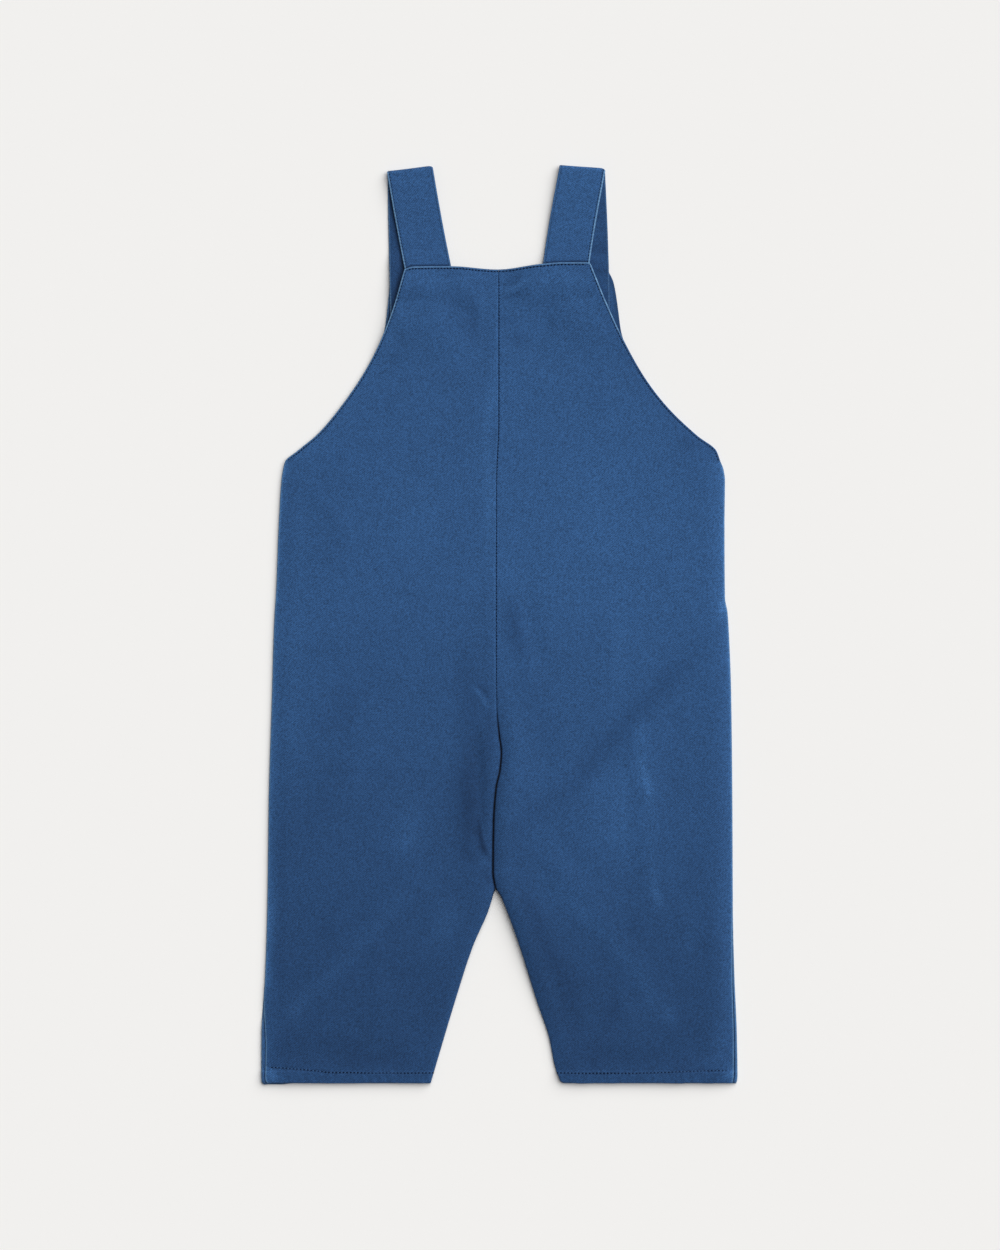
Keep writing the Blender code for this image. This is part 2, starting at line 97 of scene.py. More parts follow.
sides = table("up left right", [
    (0, -153.3, 154), (1.5, -154.6, 154.5), (4.5, -154.9, 154.9), (31, -154.8, 154.5),
    (70, -152.5, 152.9), (112, -151.1, 151.9), (187, -150, 151.5), (255, -147.9, 150.7),
    (294, -146.8, 149.2), (306, -146.2, 148.4), (316, -145.5, 146.7), (363, -143.6, 146.4),
    (392, -141.8, 146.7), (399, -140.8, 145.8), (404.5, -139.4, 143.7), (411.5, -131, 141),
    (421, -119.1, 128.8), (441, -102, 108.1), (460, -89.1, 93.7), (480, -78.6, 82.2),
    (504, -69.2, 70.7), (531, -61.4, 59.4),
])
frontBibSides = table("up left right", [
    (460, -88.6, 93.2), (480, -77.9, 82), (489, -74.9, 79.2), (505, -72.7, 77), (516, -71.7, 75.3),
    (522, -71.2, 73.9), (527.5, -69.6, 71.2),
])
inseams = table("up left right", [
    (0, -44.5, 39.4), (12, -41, 35.7), (30, -35.7, 32.1), (51, -29.4, 25), (90, -16.7, 12.7),
    (112, -7.1, 4.8), (121, -4.3, 1.1), (127, -2.8, -2.4),
])
creases = table("up x", [
    (127, -2.6), (137, -4.2), (170, -3.8), (192, -2.2), (204, 0.3), (215, 1.2), (226, -0.1),
    (245, -1.8), (300, -2.1), (392, -1.9), (431, -0.5), (531, -0.5),
])
bibTops = table("x up", [
    (-62, 528.9), (-56, 530.6), (-31, 530.9), (-1, 529.1), (27, 532.4), (41, 533.4), (56.5, 533.4),
    (59.6, 532.2),
])
rolls = table("up left right", [  # how far the front comes round to the back
    (0, 2.4, 2.6), (25, 2.6, 2.1), (60, 0, 1.6), (120, 0, 0),
])
lofts = table("up air dip", [  # air in the garment, and its fall to the inner edges
    (0, 0.9, 1), (40, 1.8, 1), (150, 3, 1), (215, 2.8, 1), (265, 2.5, 0), (350, 2.3, 0),
    (430, 1.6, 0), (490, 0.6, 0), (531, 0.1, 0),
])
lifts = table("up frontLeft frontRight backLeft backRight", [
    (0, 0, 0, 0, 0), (40, 0, 0.3, 0, 0.3), (90, 0.7, 2.4, 0.7, 2.4), (121, 1, 3, 1, 3.2),
    (160, 0, 0, 0.5, 3), (215, 0, 0, 0.3, 1.6), (255, 0, 0, 0, 0),
])
straps = [
    {"side": -1, "tuckX": -45, "foldX": -58.4, "foldUp": 594.9, "foldTilt": 7, "backTilt": 10.4,
     "endX": -55.8, "endTilt": 1.3, "backBow": -0.4, "frontBow": 0},
    {"side": 1, "tuckX": 42, "foldX": 54.2, "foldUp": 596, "foldTilt": -4.6, "backTilt": -9.6,
     "endX": 56.9, "endTilt": 0.6, "backBow": -0.6, "frontBow": 0.5},
]

# Folds of the back, each a soft ridge along a line, or a trough where its rise is below 0
backFolds = table("xFrom upFrom xTo upTo width rise", [
    (126, 278, 34, 184, 15, -1.3), (96, 235, 98, 150, 16, 1), (-68, 316, -124, 180, 22, -0.9),
    (18, 330, 30, 262, 11, -1), (-16, 228, -9, 150, 7, -1.6), (18, 170, 112, 44, 15, 0.9),
    (-30, 150, -132, 34, 15, 0.8), (-22, 515, -15, 466, 9, -0.2), (18, 508, 10, 474, 10, -0.15),
    (-15.3, 257, -7, 244, 1.6, 0.35), (1.5, 515, 18, 522, 2.2, 0.40),
    (1.5, 498, 13, 501, 1.8, 0.3), (-100, 204.5, -19, 203, 1.3, 0.14),
    (14, 328, 59, 329.5, 1.3, 0.14), (-12.5, 166, -7.5, 149, 1.6, 0.6),
    (-84, 120, -80, 30, 9, 0.35), (64, 112, 88, 22, 9, 0.35), (-126, 396, -96, 350, 10, 0.4),
    (118, 404, 84, 356, 10, 0.4),
])
# Painted shade and painted highlights of the folds and creases, with some paler worn places, each
# a soft stroke along a line
backPaintedShadeAndWear = table("xFrom upFrom xTo upTo width shade", [
    (-13, 278, -18, 142, 24, -0.13), (-17, 222, -18, 172, 15, -0.07), (-6, 240, -6, 212, 6, -0.10),
    (-14.5, 171, -7, 150, 5, -0.17), (-9, 140, -6, 130, 5, -0.14), (-8, 150, -8.5, 143, 4, 0.08),
    (9, 324, 18, 268, 11, -0.18), (18, 268, 34, 206, 15, -0.08), (14, 182, 16, 118, 15, -0.10),
    (128, 280, 30, 178, 12, -0.15), (8, 128, 46, 60, 12, -0.15), (-96, 264, -104, 224, 15, -0.08),
    (-104, 222, -132, 150, 22, -0.06), (-134, 205, -134, 312, 14, 0.09),
    (-149, 96, -146, 300, 9, 0.20), (-112, 412, -110, 330, 26, -0.05),
    (118, 424, 124, 396, 16, -0.08), (-151, 6, -148, 150, 9, 0.12), (149, 2, 147, 140, 12, 0.12),
    (-150, 30, -60, 20, 12, -0.07), (40, 22, 120, 18, 10, -0.06), (-16.3, 508, -16, 484, 6, -0.11),
    (-10.5, 516, -10, 496, 4, 0.08), (2.5, 513, 15, 515.5, 4.5, -0.20),
    (3, 522, 13, 526, 4, -0.16), (0.5, 514.6, 19, 522, 3.4, 0.24), (2, 500, 13, 496, 4, -0.15),
    (2, 487, 16, 481, 4.5, -0.08), (-16, 524, -12, 520, 6, -0.10), (22, 517, 58, 517, 14, 0.07),
    (90, 238, 92, 186, 9, 0.20), (91, 211, 98.5, 184, 3.8, 0.24), (96, 204, 96, 150, 11, 0.13),
    (64, 206, 74, 152, 22, 0.12), (-64, 178, -56, 150, 15, 0.09), (-19, 212, -18, 148, 9, -0.10),
    (-19, 292, -19, 205, 9, -0.06), (79, 206, 80, 150, 10, 0.10), (78, 62, 80, 40, 9, 0.09),
    (44, 72, 48, 40, 12, -0.06), (-116, 238, -116, 222, 14, -0.07), (132, 14, 148, 10, 8, 0.08),
    (-104, 16, -64, 14, 9, -0.08), (44, 15, 50, 14, 9, -0.08), (144, 32, 144, 10, 9, 0.09),
    (94, 60, 98, 40, 11, 0.08), (92, 300, 98, 268, 14, 0.06), (-19, 518, -19, 488, 10, -0.06),
    (13.6, 493, 14, 484, 7, -0.15), (-150, 60, -148, 122, 7, 0.22), (98, 150, 104, 112, 6, 0.10),
    (99.5, 127.5, 106, 116.5, 3.2, 0.24), (32, 134, 112, 42, 9, 0.15),
    (-52, 134, -150, 32, 9, 0.09), (-30, 112, -40, 90, 13, 0.12), (-150, 10, -142, 2, 7, 0.30),
    (150, 8, 150, 2, 5, 0.20), (151.4, 9.5, 151.4, 4, 4, 0.22), (-149.5, 7.5, -145, 5, 5, 0.14),
    (144.8, 316, 144.6, 300, 3, 0.30), (60, 420, 90, 340, 40, 0.04), (62, 394, 60, 338, 16, 0.05),
    (-60, 400, -50, 350, 36, 0.05), (-16, 424, -18, 378, 14, 0.05), (-72, 500, -72, 482, 12, 0.09),
    (-6, 470, -6, 336, 6, 0.22), (-35, 514, -22, 488, 11, -0.08), (62, 520, 62, 508, 9, 0.08),
    (62, 466, 62, 432, 13, -0.07), (46, 394, 46, 378, 9, 0.09), (96, 338, 110, 332, 11, -0.06),
    (13.6, 314, 14, 288, 9, -0.08), (78.6, 314, 78.6, 252, 11, 0.10),
    (-51.4, 184, -60, 152, 11, 0.08), (30, 186, 14, 172, 10, -0.06),
    (-27, 156, -10, 148, 9, -0.07), (127, 156, 127, 122, 10, -0.06),
    (-116.4, 104, -116.4, 94, 9, -0.07), (78.6, 104, 90, 96, 9, -0.06),
    (127, 106, 125, 80, 9, 0.06), (-149, 82, -149, 66, 6, 0.12), (-132.7, 54, -132.7, 42, 9, 0.07),
    (78.6, 54, 70, 42, 10, -0.12), (111, 54, 111, 42, 9, 0.12), (-84, 26, -80, 18, 9, 0.08),
    (62, 17, 60, 11, 8, -0.09), (-16.4, 257.5, -6.6, 243.8, 1.7, 0.40),
    (-12.8, 260, -5.4, 249, 2.4, -0.12), (-12.9, 171, -10.1, 156.4, 1.9, -0.20),
    (-10.1, 156.4, -6.4, 148, 1.9, -0.26), (-10.6, 170, -8.6, 160, 1.8, 0.13),
    (-102, 203.8, -20, 203, 1.6, -0.05), (14, 328.6, 58, 327.6, 1.6, -0.06),
])
shadeDown = table("up left right", [  # the broad change of shade down the garment
    (0, 0.62, 0.63), (40, 0.59, 0.60), (90, 0.62, 0.65), (140, 0.69, 0.78), (180, 0.73, 0.81),
    (220, 0.80, 0.86), (270, 0.84, 0.90), (330, 0.93, 1.01), (430, 0.92, 0.98), (500, 0.95, 0.99),
    (531, 0.98, 1.02), (600, 1.02, 1.10),
])
hemLines = table("x up", [  # where the hems' stitching runs
    (-151, 10.6), (-144, 10.2), (-131, 9.2), (-118, 8.1), (-105, 7.2), (-89, 7), (-65, 6.6),
    (-45, 7), (40, 6.6), (62, 6.6), (104, 7), (134, 8.3), (154, 8.3),
])
armholeWear = table("up left right", [
    (402, 0.35, 0), (470, 0.35, 0), (486, 0.6, 0.4), (496, 1, 1), (531, 1, 1),
])


def read(columns, name, place):  # a smooth curve through a column, no overshoot
    xs = next(iter(columns.values()))
    ys = columns[name]
    steps = np.diff(xs)
    rates = np.diff(ys) / steps
    slopes = np.zeros(len(xs))
    for i in range(1, len(xs) - 1):
        if rates[i - 1] * rates[i] > 0:
            before = 2 * steps[i] + steps[i - 1]
            after = steps[i] + 2 * steps[i - 1]
            slopes[i] = (before + after) / (before / rates[i - 1] + after / rates[i])
    slopes[0] = rates[0]
    slopes[-1] = rates[-1]
    place = np.clip(place, xs[0], xs[-1])
    i = np.clip(np.searchsorted(xs, place) - 1, 0, len(steps) - 1)
    t = (place - xs[i]) / steps[i]
    return ((1 + 2 * t) * (1 - t) ** 2 * ys[i] + t * (1 - t) ** 2 * steps[i] * slopes[i]
            + t * t * (3 - 2 * t) * ys[i + 1] - t * t * (1 - t) * steps[i] * slopes[i + 1])


def softStep(value):  # 0 at 0, 1 at 1, level at both ends
    held = np.clip(value, 0, 1)
    return held * held * (3 - 2 * held)


def fade(value):
    return 1 - softStep(value)


def crown(distance, reach):  # 0 at an edge, round up to 1 at the reach
    return 1 - (1 - np.clip(distance / reach, 0, 1)) ** 2


def rounded(distance, radius):  # a quarter circle up from an edge
    return np.sqrt(1 - (1 - np.clip(distance / radius, 0, 1)) ** 2)


def bell(distance, width):
    return np.exp(-(distance / width) ** 2)


def drift(x, up, size, seed):  # smooth random rise and fall, from -1 to 1
    lattice = np.random.default_rng(seed).uniform(-1, 1, (97, 97))
    across = np.asarray(x) / size + 400
    along = np.asarray(up) / size + 400
    i = np.floor(across).astype(int)
    j = np.floor(along).astype(int)
    s = softStep(across - i)
    t = softStep(along - j)
    i, j = i % 96, j % 96
    lower = lattice[i, j] * (1 - s) + lattice[i + 1, j] * s
    upper = lattice[i, j + 1] * (1 - s) + lattice[i + 1, j + 1] * s
    return lower * (1 - t) + upper * t


def strokes(columns, x, up):  # the sum of soft strokes, each along its own line
    total = 0
    bentX = x + 4 * drift(x, up, 38, 5)
    bentUp = up + 4 * drift(x, up, 38, 6)
    for xFrom, upFrom, xTo, upTo, width, rise in zip(*columns.values()):
        bend = min(width / 8, 1)
        px = x + (bentX - x) * bend - xFrom
        pu = up + (bentUp - up) * bend - upFrom
        runX, runUp = xTo - xFrom, upTo - upFrom
        long = np.hypot(runX, runUp)
        along = (px * runX + pu * runUp) / long ** 2
        across = (px * runUp - pu * runX) / long
        over = np.maximum(np.maximum(-along, along - 1), 0) * long
        taper = 0.35 + 0.65 * softStep(np.minimum(along, 1 - along) * 4)
        total += rise * bell(np.hypot(across, over), width * 0.62) * taper
    return total


def sideName(side):
    return "left" if side < 0 else "right"


def pieceName(layer, side):
    return layer + sideName(side).capitalize()


def aboveCrotch(up):
    return softStep((up - garment["crotch"]) / 6)


def innerEdge(side, up):
    inseam = read(inseams, sideName(side), up)
    crease = read(creases, "x", up)
    return inseam + (crease - inseam) * aboveCrotch(up)


def backInnerEdge(side, up):
    return innerEdge(side, up) + side * (0.15 - 0.12 * aboveCrotch(up))


def backOuterEdge(side, up):
    edge = read(sides, sideName(side), up) - side * read(rolls, sideName(side), up)
    return edge + (0.2 - 0.5 * softStep((up - 408) / 10) if side < 0 else 0)


def frontOuterEdge(side, up):
    lower = read(sides, sideName(side), np.minimum(up, 460))
    return np.where(up > 460, read(frontBibSides, sideName(side), up), lower)


def buttonLift(x, up):
    lift = 0
    for place in buttonSizes["places"].values():
        distance = np.hypot(x - place, up - buttonSizes["up"]) - buttonSizes["liftFlat"]
        fall = softStep(distance / (buttonSizes["liftReach"] - buttonSizes["liftFlat"]))
        lift += (buttonSizes["thick"] + garment["layerGap"]) * (1 - fall)
    return lift


def innerLift(layer, side, x, up):
    height = read(lifts, pieceName(layer, side), up)
    distance = np.abs(x - innerEdge(side, up))
    return height * fade(distance / garment["liftReach"])


def hemExtra(up, line=garment["hemDepth"]):
    return garment["hemExtra"] * fade(up - line + 0.3)


def frontUnder(side, x, up):
    return buttonLift(x, up) + innerLift("front", side, x, up)


def frontOver(side, x, up):
    return frontUnder(side, x, up) + garment["wall"] + hemExtra(up)


def strapLine(strap, stretch, up):
    if stretch == "back":
        share = (up - strapSizes["tuck"]) / (strap["foldUp"] - strapSizes["tuck"])
        return strap["tuckX"] + (strap["foldX"] - strap["tuckX"]) * share
    share = (up - strapSizes["end"]) / (strap["foldUp"] - strapSizes["end"])
    return strap["endX"] + (strap["foldX"] - strap["endX"]) * share


def strapCover(stretch, x, up):  # 1 over a strap and just round it
    cover = 0
    margin, fall = strapSizes["coverMargin"], strapSizes["coverFall"]
    end = strapSizes["tuck" if stretch == "back" else "end"]
    for strap in straps:
        beside = np.abs(x - strapLine(strap, stretch, up)) - strapSizes["width"] / 2 - margin
        below = end - margin - up
        cover += fade(beside / fall) * fade(below / fall)
    return cover


def strapFrontUnder(side, x, up):
    onBib = fade((up - garment["bibTopFront"] - 2) / strapSizes["bibFall"])
    bib = frontOver(side, x, np.minimum(up, garment["bibTopFront"]))
    return onBib * (bib + garment["layerGap"])


def strapBackUnder(side, x, up, foldUp):
    start = garment["bibTopFront"] + strapSizes["bibFall"]
    opening = softStep((up - start) / (foldUp - start))
    gap = garment["layerGap"] + (strapSizes["foldAir"] - garment["layerGap"]) * opening
    return strapFrontUnder(side, x, up) + strapSizes["thick"] + gap


def place(x, up, z):  # the garment's millimetres in the frame's metres
    x, up, z = np.broadcast_arrays(x, up, np.maximum(z, 0))
    return np.stack([x, up - middleUp, z], axis=-1) * mm


print("tables and heights ready")


# Finishes

class Value:
    def __init__(self, finish, socket):
        self.finish = finish
        self.socket = socket

    def maths(self, operation, first, second):
        return self.finish.maths(operation, first, second)

    def __add__(self, other):
        return self.maths("ADD", self, other)

    def __radd__(self, other):
        return self.maths("ADD", other, self)

    def __sub__(self, other):
        return self.maths("SUBTRACT", self, other)

    def __rsub__(self, other):
        return self.maths("SUBTRACT", other, self)

    def __mul__(self, other):
        return self.maths("MULTIPLY", self, other)

    def __rmul__(self, other):
        return self.maths("MULTIPLY", other, self)


class Finish:
    def __init__(self, name, shaderValues):
        self.material = bpy.data.materials.new(name)
        self.material.use_nodes = True
        self.tree = self.material.node_tree
        self.shader = self.tree.nodes["Principled BSDF"]
        for key, value in shaderValues.items():
            self.shader.inputs[key].default_value = value

    def node(self, kind, settings, sockets, output=0):
        made = self.tree.nodes.new(kind)
        for key, value in settings.items():
            setattr(made, key, value)
        for key, value in sockets.items():
            if isinstance(value, Value):
                self.tree.links.new(value.socket, made.inputs[key])
            else:
                made.inputs[key].default_value = value
        return Value(self, made.outputs[output])

    def feed(self, key, value):
        self.tree.links.new(value.socket, self.shader.inputs[key])

    def attribute(self, name, output):
        return self.node("ShaderNodeAttribute", {"attribute_name": name}, {}, output)

    def stretched(self, vector, factors):
        return self.node("ShaderNodeVectorMath", {"operation": "MULTIPLY"},
                         {0: vector, 1: factors})

    def noise(self, vector, scale, detail):
        sockets = {"Vector": vector, "Scale": scale, "Detail": detail}
        return self.node("ShaderNodeTexNoise", {}, sockets, "Fac")

    def scaled(self, vector, factor):
        return self.node("ShaderNodeVectorMath", {"operation": "SCALE"},
                         {0: vector, "Scale": factor})

    def maths(self, operation, first, second=0):
        return self.node("ShaderNodeMath", {"operation": operation}, {0: first, 1: second})

    def floor(self, value):
        return self.maths("FLOOR", value)

    def chance(self, column, row):  # a random value for each cell of a grid
        cell = self.node("ShaderNodeCombineXYZ", {}, {0: column, 1: row})
        return self.node("ShaderNodeTexWhiteNoise", {"noise_dimensions": "2D"}, {"Vector": cell},
                         "Value")


twillLook = {
    "colour": (0.0266, 0.0876, 0.2250),
    "redFall": 1.15,  # a darker tone loses more of its red and less of its blue
    "blueFall": 0.89,
    "wornColour": (0.165, 0.330, 0.540, 1),
    "roughness": 0.9,
    "sheen": 0.03,
    "ends": 1.776,  # warp yarns to a millimetre, which show as the twill's ribs
    "picks": 2.07,  # weft yarns to a millimetre
    "repeat": 3,  # a warp yarn passes over two weft yarns and under one
    "diveDip": 0.56,  # darker where a warp yarn dives under
    "yarnDip": 0.30,  # darker between two warp yarns
    "floatContrast": 0.13,  # from one float of yarn to the next
    "speckContrast": 0.68,  # from one crossing of yarns to the next
    "warpContrast": 0.10,
    "weftContrast": 0.08,
    "mottleContrast": 0.06,
    "cloudContrast": 0.12,
    "drawn": 4,  # mm that the yarns wander from straight
    "bump": 0.10,  # mm
}


def makeTwill(name, look):
    twill = Finish(name, {"Roughness": look["roughness"], "Sheen Weight": look["sheen"],
                          "Sheen Roughness": 0.45, "Specular IOR Level": 0.25})
    cut = twill.attribute("cut", "Vector")
    tone = twill.attribute("tone", "Fac")
    worn = twill.attribute("worn", "Fac")
    u = twill.node("ShaderNodeSeparateXYZ", {}, {0: cut}, 0)
    v = twill.node("ShaderNodeSeparateXYZ", {}, {0: cut}, 1)
    u += twill.noise(cut, 0.015, 1) * look["drawn"]
    v += twill.noise(cut, 0.018, 1) * look["drawn"]
    warp = u * look["ends"]
    end = twill.floor(warp)
    fromYarn = warp - end - 0.5
    weft = v * look["picks"]
    floats = (weft - end) * (1 / look["repeat"])
    floatNumber = twill.floor(floats)
    fromMiddle = floats - floatNumber - 0.5
    between = fromYarn * fromYarn * 4
    dive = fromMiddle * fromMiddle * 4
    tint = twill.chance(end, floatNumber)
    speck = twill.chance(end, twill.floor(weft))
    warpStreak = twill.noise(twill.stretched(cut, (1.8, 0.08, 1)), 1, 1)
    weftStreak = twill.noise(twill.stretched(cut, (0.09, 2, 1)), 1, 1)
    mottle = twill.noise(cut, 0.45, 2)
    cloud = twill.noise(cut, 0.028, 3)
    weave = ((tint - 0.5) * look["floatContrast"] + (speck - 0.5) * look["speckContrast"]
             - (between - 1 / 3) * look["yarnDip"] - (dive - 1 / 3) * look["diveDip"]
             + (warpStreak - 0.5) * look["warpContrast"]
             + (weftStreak - 0.5) * look["weftContrast"]
             + (mottle - 0.5) * look["mottleContrast"])
    shade = 1 + weave * (0.75 + tone * 0.30) + (cloud - 0.5) * look["cloudContrast"]
    red = twill.maths("POWER", tone, look["redFall"])
    blue = twill.maths("POWER", tone, look["blueFall"])
    toned = twill.node("ShaderNodeCombineXYZ", {}, {0: red, 1: tone, 2: blue})
    # the cloth's colour times its tone, which carries painted shade and highlights as well as the
    # dye's changes, and times the weave
    dyedAndShaded = twill.scaled(twill.stretched(toned, look["colour"]), shade)
    patchy = twill.noise(cut, 0.8, 2)
    wear = worn * (patchy * 2 - 0.10)
    colour = twill.node("ShaderNodeMix", {"data_type": "RGBA", "clamp_factor": True},
                        {0: wear, 6: dyedAndShaded, 7: look["wornColour"]}, 2)
    twill.feed("Base Color", colour)
    height = tint * 0.4 - between * 0.5 - dive * 0.6
    bumped = twill.node("ShaderNodeBump", {}, {"Strength": 0.5, "Distance": look["bump"] * mm,
                        "Height": height}, "Normal")
    twill.feed("Normal", bumped)
    return twill.material


def mottled(name, shaderValues, colour, scale, detail, contrast):
    finish = Finish(name, shaderValues)
    spot = finish.node("ShaderNodeTexCoord", {}, {}, "Object")
    tone = 1 - contrast / 2 + finish.noise(spot, scale, detail) * contrast
    finish.feed("Base Color", finish.scaled(colour, tone))
    return finish, spot


def makeThread(name, colour, shine=0.3):
    shaderValues = {"Roughness": 0.8, "Specular IOR Level": shine}
    return mottled(name, shaderValues, colour, 1400, 2, 0.6)[0].material


def makeButtonPlastic(name, colour):
    plastic, spot = mottled(name, {"Specular IOR Level": 0.5}, colour, 160, 3, 0.8)
    scratches = plastic.noise(plastic.stretched(spot, (300, 2400, 300)), 1, 2)
    plastic.feed("Roughness", 0.28 + scratches * 0.22)
    return plastic.material


twillMaterial = makeTwill("blueTwill", twillLook)
threadMaterial = makeThread("blueThread", (0.029, 0.082, 0.195))
paleThreadMaterial = makeThread("paleThread", (0.042, 0.108, 0.240))
# dark discs of painted shade for the needle holes
holeShadeMaterial = makeThread("needleHoleShade", (0.005, 0.015, 0.048), 0.05)
plasticMaterial = makeButtonPlastic("navyButton", (0.020, 0.035, 0.075))
print("finishes ready")


# Meshes

def addObject(name, data):
    made = bpy.data.objects.new(name, data)
    bpy.context.scene.collection.objects.link(made)
    return made


def newPiece(name, points, faces, materials, slots=None):
    mesh = bpy.data.meshes.new(name)
    mesh.from_pydata(points, [], faces)
    mesh.update()
    mesh.shade_smooth()
    for material in materials:
        mesh.materials.append(material)
    if slots is not None:
        mesh.polygons.foreach_set("material_index", slots)
    piece = addObject(name, mesh)
    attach(piece, "root")
    return piece


def setAttribute(piece, name, values):
    kind, key = ("FLOAT_VECTOR", "vector") if values.ndim == 2 else ("FLOAT", "value")
    made = piece.data.attributes.new(name, kind, "POINT")
    made.data.foreach_set(key, np.asarray(values, dtype=np.float32).ravel())


def clothPiece(name, over, under, cut, tone, worn, otherTone=None):
    # two grids that share their boundary make one closed piece of cloth
    if otherTone is None:
        otherTone = np.full_like(tone, garment["plainTone"])
    rows, columns = over.shape[:2]
    overIds = np.arange(rows * columns).reshape(rows, columns)
    underIds = overIds.copy()
    inside = (slice(1, rows - 1), slice(1, columns - 1))
    underIds[inside] = rows * columns + np.arange((rows - 2) * (columns - 2)).reshape(
        rows - 2, columns - 2)

    def quads(ids):
        corners = (ids[:-1, :-1], ids[:-1, 1:], ids[1:, 1:], ids[1:, :-1])
        return np.stack([part.ravel() for part in corners], axis=1)

    first = over[0, 0]
    facesUp = np.cross(over[0, 1] - first, over[1, 0] - first)[2] > 0
    overFaces, underFaces = quads(overIds), quads(underIds)[:, ::-1]
    if not facesUp:
        overFaces, underFaces = overFaces[:, ::-1], underFaces[:, ::-1]
    points = np.concatenate([over.reshape(-1, 3), under[inside].reshape(-1, 3)])
    faces = np.concatenate([overFaces, underFaces])
    piece = newPiece(name, points.tolist(), faces.tolist(), [twillMaterial])

    def both(values, other):
        flat = values.reshape(rows * columns, -1)
        joined = np.concatenate([flat, other[inside].reshape((rows - 2) * (columns - 2), -1)])
        return joined if joined.shape[1] > 1 else joined[:, 0]

    setAttribute(piece, "cut", both(cut, cut))
    setAttribute(piece, "tone", both(tone, otherTone))
    setAttribute(piece, "worn", both(worn, worn))
    return piece


edgeSteps = [0, 0.05, 0.15, 0.3, 0.5, 0.75, 1.05, 1.4, 1.75, 2.2, 2.6, 3]


def spread(length, spacing, extra=()):  # distances from 0 to length, fine at both ends
    last = edgeSteps[-1]
    count = int(np.ceil((length - 2 * last) / spacing))
    middle = np.linspace(last, length - last, count + 1)[1:-1]
    steps = [*edgeSteps, *middle, *extra, *(length - step for step in edgeSteps)]
    return np.unique(np.round(steps, 4))


def columnsBetween(width, spacing, widest):  # as spread, but as many columns in every row
    last = edgeSteps[-1]
    count = int(np.ceil((widest - 2 * last) / spacing))
    share = np.linspace(0, 1, count + 1)[1:-1]
    start = np.broadcast_to(np.array(edgeSteps), (len(width), len(edgeSteps)))
    middle = last + share[None, :] * (width[:, None] - 2 * last)
    return np.concatenate([start, middle, width[:, None] - start[:, ::-1]], axis=1)


def slant(edge, ups):  # true distance from an edge over distance along x
    return 1 / np.sqrt(1 + np.gradient(edge, ups) ** 2)


# The back: two halves, each bib, seat and leg in one

backLook = {
    "rowSpacing": 1.45,
    "columnSpacing": 1.45,
    "ripple": 0.22,  # mm of soft unevenness all over
    "hemPucker": 0.16,
    "ridgePucker": 0.14,
    "stitchIn": 1.2,  # topstitching this far in from the armholes
    "bibStitchIn": 1.45,  # and from the top of the bib
    "stitchDip": 0.20,
    "turnedIn": 0.10,  # mm that a turned and stitched edge is thicker
}


def bibHeight(x, up):  # rows near the top follow the bib's shaped edge
    start = garment["bibStretchFrom"]
    stretch = (read(bibTops, "up", x) - start) / (backTop - start)
    return np.where(up > start, start + (up - start) * stretch, up)


def hemWave(side, x):
    return 0.28 * drift(x, 0, 9, 31) if side > 0 else 0.18 * drift(x, 0, 12, 32)


def puckers(along, across, size, seed):  # small ripples along a sewn line
    shifted = along + 0.35 * across + 2.2 * drift(along, 0, 11, seed)
    uneven = 0.65 + 0.5 * drift(along, across, 13, seed + 1)
    return np.sin(2 * pi * shifted / size) * uneven


def beads(along):  # the stitches pull a sewn edge into small beads
    return 0.75 + 0.25 * np.cos(2 * pi * along / 2.1)


def fromEdges(side, x, up, top, inner, outer, slants):
    fromInner = np.maximum((x - inner) * side, 0)
    fromOuter = np.maximum((outer - x) * side, 0)
    fromHem, fromTop = up + garment["rim"], top + garment["rim"] - up
    return fromInner, fromOuter, fromInner * slants[0], fromOuter * slants[1], fromHem, fromTop


